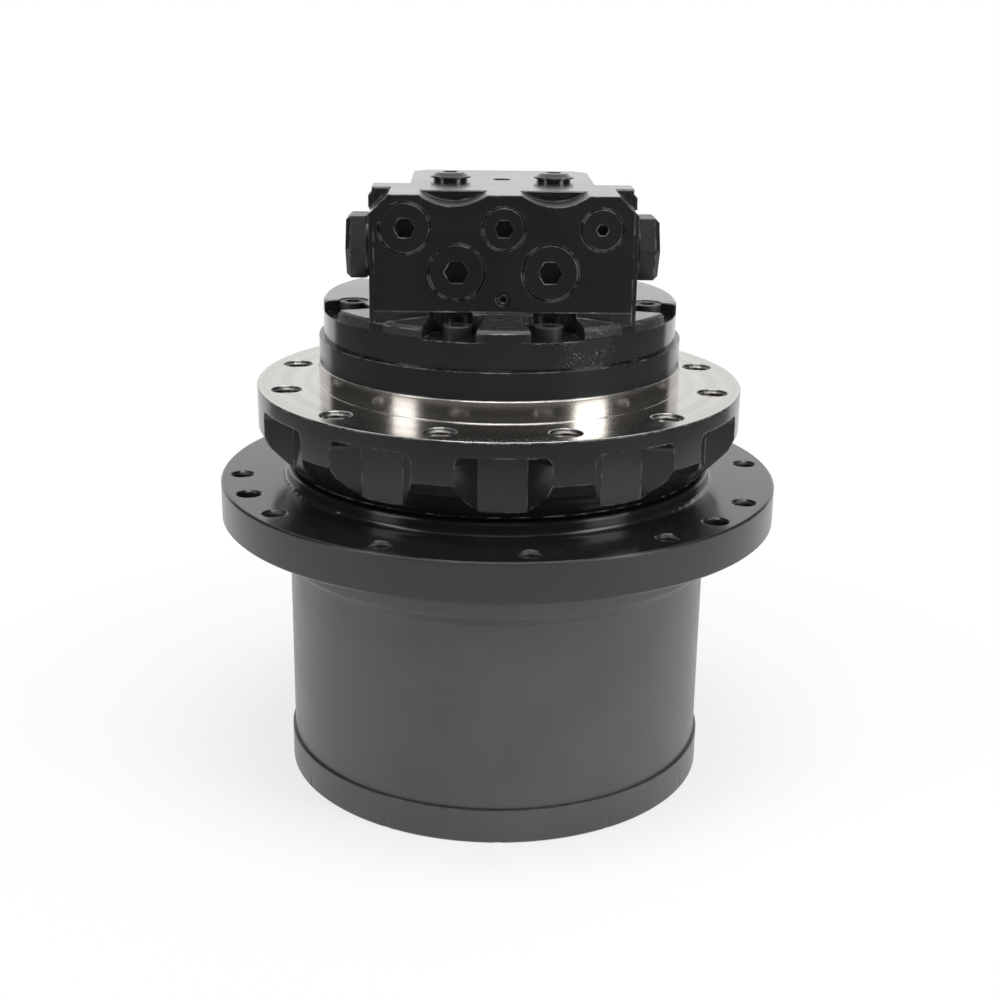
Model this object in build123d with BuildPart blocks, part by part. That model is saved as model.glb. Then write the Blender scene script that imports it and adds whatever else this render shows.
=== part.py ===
from build123d import *
from math import acos, cos, pi, radians, sin, tan
import os

# Excavator final drive: a two stage planetary hub on a spindle, with its piston motor and valve block.
# The origin is the centre of the end cover's outer face, +Z is the drive's axis, towards the valve block,
# and the valve block's plugged face looks along -Y. Lengths are in millimetres, angles in degrees.

# Clearances
running = 0.05
axial_play = 0.3
free_gap = 1.0
edge_break = 1.0
tiny = 0.01

# End cover
cover_step = 1.6
cover_thickness = 20.6
cover_plate = 14.0
cover_spigot_height = 2.6
cover_spigot_wall = 8.0
cover_screw_count = 12
cover_screw_inset = 6.8
cover_screw_radius = 4.0
cover_screw_length = 30.0
cover_screw_end_room = 4.0
cover_head_radius = 6.5
cover_head_height = 8.0
cover_head_sink = 0.6
cover_head_room = 0.4
cover_socket_radius = 3.9
cover_seal_land = 0.3
cover_seal_width = 2.0
cover_seal_depth = 1.6
oil_plug_circle_radius = 72.0
oil_plug_angles = (0.0, 90.0, 180.0)
oil_plug_radius = 13.0
oil_plug_sink = 0.6
oil_plug_socket = 6.9
oil_plug_socket_depth = 7.0
thrust_pad_radius = 22.0
thrust_pad_seat = 2.0
thrust_pad_height = 6.0
socket_share = 0.55

# Hub housing
housing_wall = 21.4
housing_height = 138.8
mouth_room = 1.85
mouth_depth = 3.0
register_step = 6.2
register_height = 21.1
register_chamfer = 7.1
flange_reach = 33.4
flange_thickness = 23.0
sprocket_hole_inset = 12.5
sprocket_hole_radius = 6.1
sprocket_bolt_count = 12
first_sprocket_hole = -84.6
dowel_hole_radius = 6.5
dowel_count = 3
first_dowel_hole = -39.6
hole_chamfer = 1.1
collar_wall = 7.0
collar_height = 7.6
collar_fillet = 2.5

# Main bearings
bearing_bore_radius = 84.0
bearing_section = 20.0
bearing_width = 22.0
bearing_gap = 8.0
bearing_shoulder = 5.5
bearing_inner_shoulder = 8.0
roller_radius = 4.2
roller_facets = 12
roller_length = 15.0
roller_tilt = 14.0
roller_count = 24
roller_gap = 0.3
nut_height = 8.0
nut_wall = 11.0
nut_slot_count = 8
nut_slot_depth = 3.5
nut_slot_width = 8.0

# Floating seal between hub and spindle
labyrinth_gap = 1.2
seal_bore_step = 2.0
seal_ring_wall = 6.0
seal_lip = 2.0
seal_lip_height = 3.0
seal_ring_waist = 1.0
seal_toric_room = 7.0
seal_pocket_taper = 2.0
seal_pocket_depth = 16.0
seal_ring_height = 12.0
seal_face_gap = 0.1

# Spindle
neck_wall = 4.5
neck_height = 48.8
neck_foot = 1.5
inner_neck_radius = 100.0
frame_flange_reach = 18.5
frame_rim = 8.8
frame_bolt_count = 12
frame_bolt_inset = 15.5
frame_hole_radius = 8.0
frame_hole_depth = 28.0
first_frame_bolt_angle = 15.0
lug_height = 24.0
lug_slope_inset = 3.0
lug_slope_rise = 6.5
pad_step = 3.7
pad_width = 26.0
pad_splay = 44.5
pad_corner = 5.0
spigot_radius = 106.0
spigot_height = 12.0
case_step = 0.6
case_height = 15.7
cavity_radius = 72.0
cavity_shoulder = 5.0
coupling_bore_radius = 17.5

# Gears
pressure_angle = 25.0
addendum = 0.8
dedendum = 1.05
backlash = 0.10
module = 3.0
ring_teeth = 72
sun_1_teeth = 12
planet_1_teeth = 30
sun_2_teeth = 18
planet_2_teeth = 27
planets = 3
face_1 = 22.0
face_2 = 30.0
pin_radius = 14.0
needle_thickness = 4.0
washer_thickness = 2.0
washer_radius = 22.0
pin_head_thickness = 1.5
pin_head_radius = 17.0
carrier_thickness = 10.0
carrier_arm_radius = 28.0
carrier_core_inset = 4.0
sun_end_room = 10.0
spindle_pin_depth = 28.0
needle_end_room = 1.0
spline_root_wall = 1.5
first_planet_angle = 90.0

# Shafts and motor
shaft_radius = 14.0
sun_shaft_radius = 11.0
hollow_sun_bore = 13.5
spline_depth = 1.4
spline_teeth = 12
sleeve_radius = 16.4
sleeve_length = 30.0
sleeve_end_room = 2.0
shaft_bearing_radius = 31.0
shaft_bearing_width = 16.0
shaft_seal_wall = 6.0
shaft_seal_width = 7.0
shaft_seal_room = 0.5
shaft_end_radius = 12.9
shaft_end_room = 1.5
rear_bearing_radius = 20.0
rear_bearing_width = 10.0
rear_bearing_room = 0.5
swash_rim = 13.0
swash_thickness = 18.0
swash_bore_step = 1.0
swash_bevel = 6.0
swash_rise = 3.0
pivot_radius = 10.0
pivot_spread = 38.0
pivot_steps = 6
control_piston_radius = 11.0
control_piston_depth = 20.0
control_piston_room = 3.0
control_piston_place = 46.0
piston_count = 9
piston_circle_radius = 36.0
piston_radius = 8.5
piston_length = 36.0
piston_neck_radius = 5.5
slipper_radius = 11.0
slipper_foot = 3.0
slipper_height = 9.0
slipper_gap = 0.5
retainer_thickness = 2.5
retainer_rim = 1.0
cylinder_wall = 7.5
block_height = 50.0
block_spline_depth = 3.0
block_spline_teeth = 18
block_spline_start = 12.0
block_spline_length = 26.0
block_neck_height = 8.0
block_neck_step = 3.0
spring_seat_depth = 16.0
spring_wall = 5.4
spring_room = 0.5
valve_plate_thickness = 4.0
valve_plate_step = 2.0
valve_plate_sink = 14.2
kidney_width = 8.0
kidney_sweep = 120.0
brake_disc_room = 1.5
brake_disc_step = 4.0
steel_plate_thickness = 2.4
friction_disc_thickness = 2.8
friction_disc_count = 3
plate_gap = 0.12
brake_stack_start = 14.0
brake_piston_step = 2.0
brake_piston_foot = 4.0
brake_piston_height = 22.0
brake_spring_sheet = 2.0

# Rear flange and valve block
disc_step = 2.8
disc_thickness = 21.5
disc_edge = 1.6
boss_step = 6.0
shelf_height = 4.5
shelf_inner = 84.0
shelf_half_turn = 42.0
flange_screw_angles = (-106.4, -73.6, -12.0, 42.0, 73.6, 106.4, 138.0, 192.0)
pocket_angles = (-106.4, -73.6, -20.0, 42.0, 73.6, 106.4, 138.0, 200.0)
flange_screw_inset = 19.4
flange_screw_radius = 5.0
flange_head_radius = 8.0
flange_head_height = 10.0
flange_head_sink = 0.5
flange_head_room = 0.5
flange_socket_radius = 4.9
flange_screw_length = 34.0
flange_screw_end_room = 4.0
pocket_depth = 6.5
pocket_width = 30.0
pocket_length = 26.0
pocket_corner = 5.0
arch_rise = 5.5
block_half_width = 71.4
block_front = 80.0
block_machined_depth = 34.0
wing_depth = 52.0
block_rise = 67.5
block_corner = 10.5
block_edge = 2.5
shoulder_step = 2.0
shoulder_sink = 0.8
shoulder_bevel = 4.0
rear_half_width = 51.0
rear_depth = 42.0
rear_bevel = 8.0
notch_offset = 27.0
notch_radius = 31.0
notch_sink = 5.8
notch_depth = 22.0
spool_bore_radius = 11.0
spool_height = 36.0
spool_setback = 35.0
spool_travel = 5.0
spool_waist_radius = 7.0
spool_spring_room = 16.0
cap_washer_radius = 17.2
cap_washer_thickness = 2.4
cap_hexagon_radius = 19.3
cap_hexagon_length = 8.7
cap_bevel = 2.5
cap_plug_length = 12.0
spool_spring_wall = 2.5
spring_end_room = 0.4
port_radius = 13.0
port_depth = 20.0
port_offset = 27.0
port_height = 34.0
small_port_radius = 6.0
small_port_heights = (12.0, 56.0)
front_plugs = {
    "plug_upper_left": (-52.5, 50.0, 13.2, 5.6),
    "plug_upper_middle": (0.0, 50.0, 11.0, 5.0),
    "plug_upper_right": (52.0, 50.0, 10.8, 3.1),
    "plug_gauge": (0.0, 12.5, 3.1, 1.6),
}
lower_plug_radius = 14.6
lower_plug_socket = 6.5
lower_plug_offset = 25.0
lower_plug_height = 27.0
front_plug_depth = 12.0
front_plug_rise = 0.4
plug_seat_bevel = 0.7
top_plug_offset = 29.0
top_plug_setback = 67.0
top_plug_radius = 9.6
top_plug_rise = 2.0
top_plug_flange_radius = 11.3
top_plug_flange_height = 0.9
top_plug_cap_radius = 10.3
top_plug_crown_radius = 7.4
top_plug_crown_height = 2.0
top_plug_socket = 5.0
top_plug_depth = 12.0
plug_socket_share = 0.6
lifting_hole_radius = 5.1
lifting_hole_depth = 18.0
lifting_hole_setback = 75.0

# Levels along the axis, measured from the resting face
seam_z = cover_thickness
flange_z = seam_z + housing_height
flange_top_z = flange_z + flange_thickness
collar_z = flange_top_z + collar_height
skirt_z = collar_z + labyrinth_gap
frame_z = collar_z + neck_height
rim_z = frame_z - frame_rim
case_z = frame_z + spigot_height + case_height
disc_z = case_z + disc_thickness
block_top_z = disc_z + block_rise
stage_1_z = cover_plate + sun_end_room
stage_1_top = stage_1_z + face_1
carrier_z = stage_1_top + axial_play + washer_thickness
carrier_top = carrier_z + carrier_thickness
pin_2_z = carrier_top + free_gap
stage_2_z = pin_2_z + pin_head_thickness + washer_thickness + axial_play
stage_2_top = stage_2_z + face_2
nose_z = stage_2_top + axial_play + washer_thickness
bearing_1_z = nose_z + nut_height
bearing_2_z = bearing_1_z + bearing_width + bearing_gap
bearing_top_z = bearing_2_z + bearing_width
tooth_top_z = stage_2_top + axial_play + washer_thickness
cavity_z = bearing_top_z + cavity_shoulder
swash_z = cavity_z + swash_rise
swash_top = swash_z + swash_thickness
valve_plate_z = case_z - valve_plate_sink - valve_plate_thickness
block_z = valve_plate_z - axial_play - block_height
sun_z = cover_plate + thrust_pad_height

# Gear radii
ring_pitch = module * ring_teeth / 2
ring_tip = ring_pitch - addendum * module
ring_root = ring_pitch + dedendum * module
centre_1 = module * (sun_1_teeth + planet_1_teeth) / 2
centre_2 = module * (sun_2_teeth + planet_2_teeth) / 2
needle_radius = pin_radius + needle_thickness
planet_bore = needle_radius + running

# Radii about the axis, each from what it seats on
bearing_outer_radius = bearing_bore_radius + bearing_section
roller_circle_radius = bearing_bore_radius + bearing_section / 2
housing_radius = bearing_outer_radius + housing_wall
cover_radius = housing_radius + cover_step
mouth_radius = ring_root + mouth_room
cover_screw_circle_radius = mouth_radius + cover_screw_inset
register_radius = housing_radius + register_step
flange_radius = register_radius + flange_reach
sprocket_circle_radius = flange_radius - sprocket_hole_inset
seal_bore_radius = bearing_outer_radius + seal_bore_step
seal_ring_radius = seal_bore_radius + seal_ring_wall
seal_pocket_radius = seal_ring_radius + seal_toric_room
collar_radius = seal_pocket_radius + collar_wall
neck_radius = seal_pocket_radius + neck_wall
pad_radius = neck_radius + pad_step
frame_flange_radius = neck_radius + frame_flange_reach
frame_bolt_circle_radius = frame_flange_radius - frame_bolt_inset
case_radius = spigot_radius - case_step
disc_radius = case_radius - disc_step
flange_screw_circle_radius = case_radius - flange_screw_inset
block_radius = piston_circle_radius + piston_radius + cylinder_wall
valve_plate_radius = block_radius - valve_plate_step
boss_radius = valve_plate_radius + boss_step
swash_radius = piston_circle_radius + slipper_radius + swash_rim
swash_bore = piston_circle_radius - slipper_radius + swash_bore_step
brake_disc_inner = block_radius + block_spline_depth + brake_disc_room
brake_disc_outer = cavity_radius - brake_disc_step
brake_piston_bore = brake_disc_inner + brake_piston_step

os.makedirs("parts", exist_ok=True)


def save(builder, label):
    """Label a finished piece and write it under that name."""
    builder.part.label = label
    export_step(builder.part, f"parts/{label}.step")


def involute(angle):
    return tan(angle) - angle


def polar(radius, angle, z=0.0):
    """Point at a radius and an angle in degrees about the drive's axis."""
    return (radius * cos(radians(angle)), radius * sin(radians(angle)), z)


def gear_outline(teeth, inner, outer, thinning, steps=3):
    """Corner points of an involute gear between two radii, a tooth centred on the X direction."""
    pitch = module * teeth / 2
    base = pitch * cos(radians(pressure_angle))
    half = pi / (2 * teeth) + involute(radians(pressure_angle)) - thinning / pitch
    radii = [inner + (outer - inner) * step / (steps - 1) for step in range(steps)]
    flank = [(r, half - involute(acos(min(1.0, base / r)))) for r in radii]
    points = []
    for tooth in range(teeth):
        middle = 2 * pi * tooth / teeth
        points += [(r * cos(middle - a), r * sin(middle - a)) for r, a in flank]
        points += [(r * cos(middle + a), r * sin(middle + a)) for r, a in reversed(flank)]
    return points


def external_outline(teeth):
    pitch = module * teeth / 2
    return gear_outline(teeth, pitch - dedendum * module, pitch + addendum * module, backlash)


def spline_outline(radius, teeth=spline_teeth, depth=spline_depth, shrink=0.0):
    """Corner points of a straight sided spline whose teeth reach the given radius."""
    quarter = 360 / teeth / 4
    points = []
    for tooth in range(teeth):
        middle = tooth * 360 / teeth
        for r, turn in [(radius - depth, -quarter), (radius, -quarter * 0.8), (radius, quarter * 0.8),
                        (radius - depth, quarter)]:
            points.append(polar(r - shrink, middle + turn)[:2])
    return points


def turned(profile, axis=Axis.Z, angle=360.0):
    """Solid turned from a closed outline of (radius, height) points."""
    with BuildPart() as body:
        with BuildSketch(Plane.XZ):
            with BuildLine():
                Polyline(*profile, close=True)
            make_face()
        revolve(axis=axis, revolution_arc=angle)
    return body


def ring(inner, outer, bottom, top):
    """Plain turned ring between two radii and two heights."""
    with BuildPart() as body:
        with BuildSketch(Plane.XY.offset(bottom)):
            Circle(outer)
            if inner > 0:
                Circle(inner, mode=Mode.SUBTRACT)
        extrude(amount=top - bottom)
    return body


def headed_pins(places, bottom, top):
    """Planet pins with a flat head at the lower end, which keeps the thrust washer on."""
    with BuildPart() as body:
        with BuildSketch(Plane.XY.offset(bottom)):
            with Locations(*places):
                Circle(pin_head_radius)
        extrude(amount=pin_head_thickness)
        with BuildSketch(Plane.XY.offset(bottom + pin_head_thickness)):
            with Locations(*places):
                Circle(pin_radius)
        extrude(amount=top - bottom - pin_head_thickness)
    return body


def rings_at(places, inner, outer, spans):
    """Equal rings about several upright axes, one for each (bottom, top) span."""
    with BuildPart() as body:
        for bottom, top in spans:
            with BuildSketch(Plane.XY.offset(bottom)):
                with Locations(*places):
                    Circle(outer)
                    if inner > 0:
                        Circle(inner, mode=Mode.SUBTRACT)
            extrude(amount=top - bottom)
    return body


def screws(places, bottom, top, shank_radius, head_radius, head_height, socket_radius, head_up):
    """Socket head screws: shank, head and hexagon socket, the head at the upper or the lower end."""
    head_z = top - head_height if head_up else bottom
    socket_plane = Plane.XY.offset(top) if head_up else Plane.XY.offset(bottom)
    sink = -head_height * socket_share if head_up else head_height * socket_share
    with BuildPart() as body:
        with BuildSketch(Plane.XY.offset(bottom)):
            with Locations(*places):
                Circle(shank_radius)
        extrude(amount=top - bottom)
        with BuildSketch(Plane.XY.offset(head_z)):
            with Locations(*places):
                Circle(head_radius)
        extrude(amount=head_height)
        with BuildSketch(socket_plane):
            with Locations(*places):
                RegularPolygon(socket_radius, 6)
        extrude(amount=sink, mode=Mode.SUBTRACT)
    return body


def pivot_barrels(gap):
    """The two swash plate pivots: barrels turned about upright axes, larger all round by a gap."""
    size = pivot_radius + gap
    steps = [pi * n / pivot_steps for n in range(pivot_steps + 1)]
    outline = [(size * sin(step), -size * cos(step)) for step in steps]
    with BuildPart() as barrels:
        for side in (-1, 1):
            place = (side * pivot_spread, 0, (cavity_z + swash_z) / 2)
            with BuildSketch(Plane(origin=place, x_dir=(1, 0, 0), z_dir=(0, -1, 0))):
                with BuildLine():
                    Polyline(*outline, close=True)
                make_face()
            revolve(axis=Axis(place, (0, 0, 1)))
    return barrels


# Turning side: end cover with its screws, plugs, seal and thrust pad
cover_screw_places = [polar(cover_screw_circle_radius, 360 * n / cover_screw_count)[:2]
                      for n in range(cover_screw_count)]
oil_plug_places = [polar(oil_plug_circle_radius, angle)[:2] for angle in oil_plug_angles]
cover_seal_inner = mouth_radius + cover_seal_land

with BuildPart() as end_cover:
    with BuildSketch(Plane.XZ):
        with BuildLine():
            Polyline((0, 0), (cover_radius - edge_break, 0), (cover_radius, edge_break),
                     (cover_radius, seam_z), (mouth_radius - running, seam_z),
                     (mouth_radius - running, seam_z + cover_spigot_height),
                     (mouth_radius - cover_spigot_wall, seam_z + cover_spigot_height),
                     (mouth_radius - cover_spigot_wall, cover_plate), (0, cover_plate), close=True)
        make_face()
    revolve(axis=Axis.Z)
    with BuildSketch(Plane.XY.offset(seam_z)):
        Circle(cover_seal_inner + cover_seal_width)
        Circle(cover_seal_inner, mode=Mode.SUBTRACT)
    extrude(amount=-cover_seal_depth, mode=Mode.SUBTRACT)
    with BuildSketch(Plane.XY.offset(cover_plate)):
        Circle(thrust_pad_radius + running)
    extrude(amount=-thrust_pad_seat, mode=Mode.SUBTRACT)
    with BuildSketch(Plane.XY):
        with Locations(*cover_screw_places):
            Circle(cover_screw_radius + running)
        with Locations(*oil_plug_places):
            Circle(oil_plug_radius)
    extrude(amount=seam_z, mode=Mode.SUBTRACT)
    with BuildSketch(Plane.XY):
        with Locations(*cover_screw_places):
            Circle(cover_head_radius + cover_head_room)
    extrude(amount=cover_head_sink + cover_head_height, mode=Mode.SUBTRACT)
save(end_cover, "end_cover")

cover_screws = screws(cover_screw_places, cover_head_sink, cover_head_sink + cover_screw_length,
                      cover_screw_radius, cover_head_radius, cover_head_height, cover_socket_radius, False)
save(cover_screws, "cover_screws")

cover_seal = ring(cover_seal_inner, cover_seal_inner + cover_seal_width, seam_z - cover_seal_depth, seam_z)
save(cover_seal, "cover_seal")

with BuildPart() as oil_plugs:
    with BuildSketch(Plane.XY.offset(oil_plug_sink)):
        with Locations(*oil_plug_places):
            Circle(oil_plug_radius)
    extrude(amount=cover_plate - oil_plug_sink)
    with BuildSketch(Plane.XY.offset(oil_plug_sink)):
        with Locations(*oil_plug_places):
            RegularPolygon(oil_plug_socket, 6)
    extrude(amount=oil_plug_socket_depth, mode=Mode.SUBTRACT)
save(oil_plugs, "oil_plugs")

thrust_pad = ring(0, thrust_pad_radius, cover_plate - thrust_pad_seat, sun_z - axial_play)
save(thrust_pad, "sun_thrust_pad")

# Hub housing: one casting with the sprocket flange, its register, the bearing seats and the ring gear
sprocket_places = [polar(sprocket_circle_radius, first_sprocket_hole + 360 * n / sprocket_bolt_count)[:2]
                   for n in range(sprocket_bolt_count)]
dowel_places = [polar(sprocket_circle_radius, first_dowel_hole + 360 * n / dowel_count)[:2]
                for n in range(dowel_count)]
seal_floor = collar_z - seal_pocket_depth

with BuildPart() as hub_housing:
    with BuildSketch(Plane.XZ):
        with BuildLine():
            Polyline((mouth_radius, seam_z), (housing_radius, seam_z),
                     (housing_radius, flange_z - register_height - register_chamfer),
                     (register_radius, flange_z - register_height), (register_radius, flange_z),
                     (flange_radius - edge_break, flange_z), (flange_radius, flange_z + edge_break),
                     (flange_radius, flange_top_z - edge_break), (flange_radius - edge_break, flange_top_z),
                     (collar_radius, flange_top_z), (collar_radius, collar_z - edge_break),
                     (collar_radius - edge_break, collar_z), (seal_pocket_radius, collar_z),
                     (seal_pocket_radius - seal_pocket_taper, seal_floor),
                     (bearing_outer_radius, seal_floor), (bearing_outer_radius, bearing_2_z),
                     (bearing_outer_radius - bearing_shoulder, bearing_2_z),
                     (bearing_outer_radius - bearing_shoulder, bearing_2_z - bearing_gap),
                     (bearing_outer_radius, bearing_2_z - bearing_gap), (bearing_outer_radius, bearing_1_z),
                     (ring_tip, bearing_1_z), (ring_tip, seam_z + mouth_depth),
                     (mouth_radius, seam_z + mouth_depth), close=True)
        make_face()
    revolve(axis=Axis.Z)
    collar_root = [edge for edge in hub_housing.edges().filter_by(GeomType.CIRCLE)
                   if abs(edge.radius - collar_radius) < tiny and abs(edge.center().Z - flange_top_z) < tiny]
    fillet(collar_root, radius=collar_fillet)
    with BuildSketch(Plane.XY.offset(seam_z)):
        with BuildLine():
            Polyline(*gear_outline(ring_teeth, ring_tip, ring_root, -backlash, 2), close=True)
        make_face()
        Circle(ring_tip - 1, mode=Mode.SUBTRACT)
    extrude(amount=tooth_top_z - seam_z, mode=Mode.SUBTRACT)
    with BuildSketch(Plane.XY.offset(seam_z)):
        with Locations(*cover_screw_places):
            Circle(cover_screw_radius + running)
    extrude(amount=cover_screw_length - cover_thickness + cover_screw_end_room, mode=Mode.SUBTRACT)
    for places, radius in ((sprocket_places, sprocket_hole_radius), (dowel_places, dowel_hole_radius)):
        with BuildSketch(Plane.XY.offset(flange_z)):
            with Locations(*places):
                Circle(radius)
        extrude(amount=flange_thickness, mode=Mode.SUBTRACT)
        with Locations(*[(x, y, flange_top_z) for x, y in places]):
            Cone(radius, radius + hole_chamfer, hole_chamfer,
                 align=(Align.CENTER, Align.CENTER, Align.MAX), mode=Mode.SUBTRACT)
save(hub_housing, "hub_housing")


# Main bearings, tapered rollers back to back
def bearing_races(bottom, lean):
    """Inner and outer race of one bearing; lean is 1 where the raceway opens upwards, else -1."""
    spread = bearing_width / 2 * tan(radians(roller_tilt)) * lean
    reach = (roller_radius + roller_gap) / cos(radians(roller_tilt))
    inner_way, outer_way = roller_circle_radius - reach, roller_circle_radius + reach
    top = bottom + bearing_width
    inner = turned([(bearing_bore_radius, bottom), (inner_way - spread, bottom), (inner_way + spread, top),
                    (bearing_bore_radius, top)])
    outer = turned([(bearing_outer_radius, bottom), (outer_way - spread, bottom), (outer_way + spread, top),
                    (bearing_outer_radius, top)])
    return inner, outer


bearing_rows = [("lower", bearing_1_z, -1), ("upper", bearing_2_z, 1)]
for row_name, row_z, row_lean in bearing_rows:
    inner_race, outer_race = bearing_races(row_z, row_lean)
    save(inner_race, f"bearing_inner_race_{row_name}")
    save(outer_race, f"bearing_outer_race_{row_name}")

with BuildPart() as bearing_rollers:
    for row_name, row_z, row_lean in bearing_rows:
        lean_angle = radians(roller_tilt * row_lean)
        for n in range(roller_count):
            angle = 360 * n / roller_count
            middle = polar(roller_circle_radius, angle, row_z + bearing_width / 2)
            with BuildSketch(Plane(origin=middle, z_dir=polar(sin(lean_angle), angle, cos(lean_angle)))
                             .offset(-roller_length / 2)):
                RegularPolygon(roller_radius, roller_facets)
            extrude(amount=roller_length)
save(bearing_rollers, "bearing_rollers")

with BuildPart() as bearing_nut:
    with BuildSketch(Plane.XY.offset(nose_z)):
        Circle(bearing_bore_radius + nut_wall)
        Circle(bearing_bore_radius, mode=Mode.SUBTRACT)
        with PolarLocations(bearing_bore_radius + nut_wall, nut_slot_count):
            Rectangle(2 * nut_slot_depth, nut_slot_width, mode=Mode.SUBTRACT)
    extrude(amount=nut_height)
save(bearing_nut, "bearing_nut")

# Floating seal: two lapped rings face to face, each in its rubber toric ring
seal_middle = (collar_z + skirt_z) / 2


def seal_half(up):
    """One lapped seal ring; up is 1 for the spindle's half and -1 for the hub's."""
    face = seal_middle + up * seal_face_gap / 2
    waist = seal_ring_radius - seal_ring_waist
    return turned([(seal_bore_radius, face), (seal_ring_radius + seal_lip, face),
                   (seal_ring_radius + seal_lip, face + up * seal_lip_height),
                   (waist, face + up * (seal_lip_height + seal_lip)),
                   (waist, face + up * seal_ring_height), (seal_bore_radius, face + up * seal_ring_height)])


def seal_toric(up):
    """Rubber ring squeezed between a seal ring and its pocket."""
    face = seal_middle + up * seal_face_gap / 2
    waist = seal_ring_radius - seal_ring_waist
    start = face + up * (seal_lip_height + seal_lip + seal_ring_waist)
    end = face + up * seal_ring_height
    return ring(waist, seal_pocket_radius - seal_pocket_taper, min(start, end), max(start, end))


save(seal_half(-1), "seal_ring_hub")
save(seal_toric(-1), "seal_toric_hub")
save(seal_half(1), "seal_ring_spindle")
save(seal_toric(1), "seal_toric_spindle")

# Spindle: bearing journal, neck, frame flange with bolt lugs, spigot and motor case in one casting
frame_places = [polar(frame_bolt_circle_radius, first_frame_bolt_angle + 360 * n / frame_bolt_count)[:2]
                for n in range(frame_bolt_count)]
pin_2_places = [polar(centre_2, first_planet_angle + 360 * n / planets)[:2] for n in range(planets)]
flange_screw_places = [polar(flange_screw_circle_radius, angle)[:2] for angle in flange_screw_angles]
seal_roof = skirt_z + seal_pocket_depth
shaft_seal_z = cavity_z - shaft_seal_width
shaft_seal_radius = shaft_radius + shaft_seal_wall
shaft_bearing_z = shaft_seal_z - shaft_bearing_width
lug_foot = frame_z - lug_height
head_top_z = disc_z - flange_head_sink
head_foot_z = head_top_z - flange_head_height
screw_tip_z = head_top_z - flange_screw_length
shoulder_radius = bearing_bore_radius + bearing_inner_shoulder

# Pocket between two frame bolts: its back is a flat pad and its sides splay out to the rim
pocket_foot = skirt_z - pad_corner
pocket_middle = (pocket_foot + rim_z) / 2
pad_plane = Plane(origin=(pad_radius, 0, pocket_middle), x_dir=(0, 1, 0), z_dir=(1, 0, 0))
pocket_reach = frame_flange_radius + pad_corner - pad_radius
with BuildPart() as frame_pocket:
    with BuildSketch(pad_plane):
        RectangleRounded(pad_width, rim_z - pocket_foot, pad_corner)
    with BuildSketch(pad_plane.offset(pocket_reach)):
        RectangleRounded(pad_width + 2 * pocket_reach * tan(radians(pad_splay)), rim_z - pocket_foot, pad_corner)
    loft()

with BuildPart() as spindle:
    with BuildSketch(Plane.XZ):
        with BuildLine():
            Polyline((coupling_bore_radius, nose_z), (bearing_bore_radius, nose_z),
                     (bearing_bore_radius, bearing_top_z), (shoulder_radius, bearing_top_z),
                     (inner_neck_radius, bearing_top_z + cavity_shoulder), (inner_neck_radius, seal_roof),
                     (seal_pocket_radius - seal_pocket_taper, seal_roof), (seal_pocket_radius, skirt_z),
                     (neck_radius - edge_break, skirt_z), (neck_radius, skirt_z + edge_break),
                     (neck_radius, skirt_z + neck_foot),
                     (frame_flange_radius - lug_slope_inset, lug_foot - lug_slope_rise),
                     (frame_flange_radius, lug_foot), (frame_flange_radius, frame_z - edge_break / 2),
                     (frame_flange_radius - edge_break / 2, frame_z), (spigot_radius, frame_z),
                     (spigot_radius, frame_z + spigot_height), (case_radius, frame_z + spigot_height),
                     (case_radius, case_z), (cavity_radius, case_z), (cavity_radius, cavity_z),
                     (shaft_seal_radius, cavity_z), (shaft_seal_radius, shaft_seal_z),
                     (shaft_bearing_radius, shaft_seal_z), (shaft_bearing_radius, shaft_bearing_z),
                     (coupling_bore_radius, shaft_bearing_z), close=True)
        make_face()
    revolve(axis=Axis.Z)
    with PolarLocations(0, frame_bolt_count, start_angle=first_frame_bolt_angle + 180 / frame_bolt_count):
        add(frame_pocket.part, mode=Mode.SUBTRACT)
    with BuildSketch(Plane.XY.offset(frame_z)):
        with Locations(*frame_places):
            Circle(frame_hole_radius)
    extrude(amount=-frame_hole_depth, mode=Mode.SUBTRACT)
    with Locations(*[(x, y, frame_z) for x, y in frame_places]):
        Cone(frame_hole_radius, frame_hole_radius + hole_chamfer, hole_chamfer,
             align=(Align.CENTER, Align.CENTER, Align.MAX), mode=Mode.SUBTRACT)
    with BuildSketch(Plane.XY.offset(nose_z)):
        with Locations(*pin_2_places):
            Circle(pin_radius)
    extrude(amount=spindle_pin_depth, mode=Mode.SUBTRACT)
    with BuildSketch(Plane.XY.offset(case_z)):
        with Locations(*flange_screw_places):
            Circle(flange_screw_radius + running)
    extrude(amount=screw_tip_z - case_z - flange_screw_end_room, mode=Mode.SUBTRACT)
    with BuildSketch(Plane.XY.offset(cavity_z)):
        with Locations((0, control_piston_place)):
            Circle(control_piston_radius + running)
    extrude(amount=-control_piston_depth, mode=Mode.SUBTRACT)
    add(pivot_barrels(running).part, mode=Mode.SUBTRACT)
save(spindle, "spindle")


# Planet stages
def gear(plane, teeth, height, bore):
    """Spur gear extruded from a plane, whose X direction points at a tooth."""
    with BuildPart() as wheel:
        with BuildSketch(plane):
            with BuildLine():
                Polyline(*external_outline(teeth), close=True)
            make_face()
            Circle(bore, mode=Mode.SUBTRACT)
        extrude(amount=height)
    return wheel


def upright_plane(place, angle, z):
    """Horizontal plane at a place, its X direction turned to an angle."""
    return Plane(origin=(place[0], place[1], z), x_dir=polar(1, angle), z_dir=(0, 0, 1))


letters = "abc"
first_planet_1_angle = first_planet_angle + 180 / planets
pin_1_places = [polar(centre_1, first_planet_1_angle + 360 * n / planets)[:2] for n in range(planets)]
washer_1_z = stage_1_z - axial_play - washer_thickness
washer_2_z = stage_2_z - axial_play - washer_thickness

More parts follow.
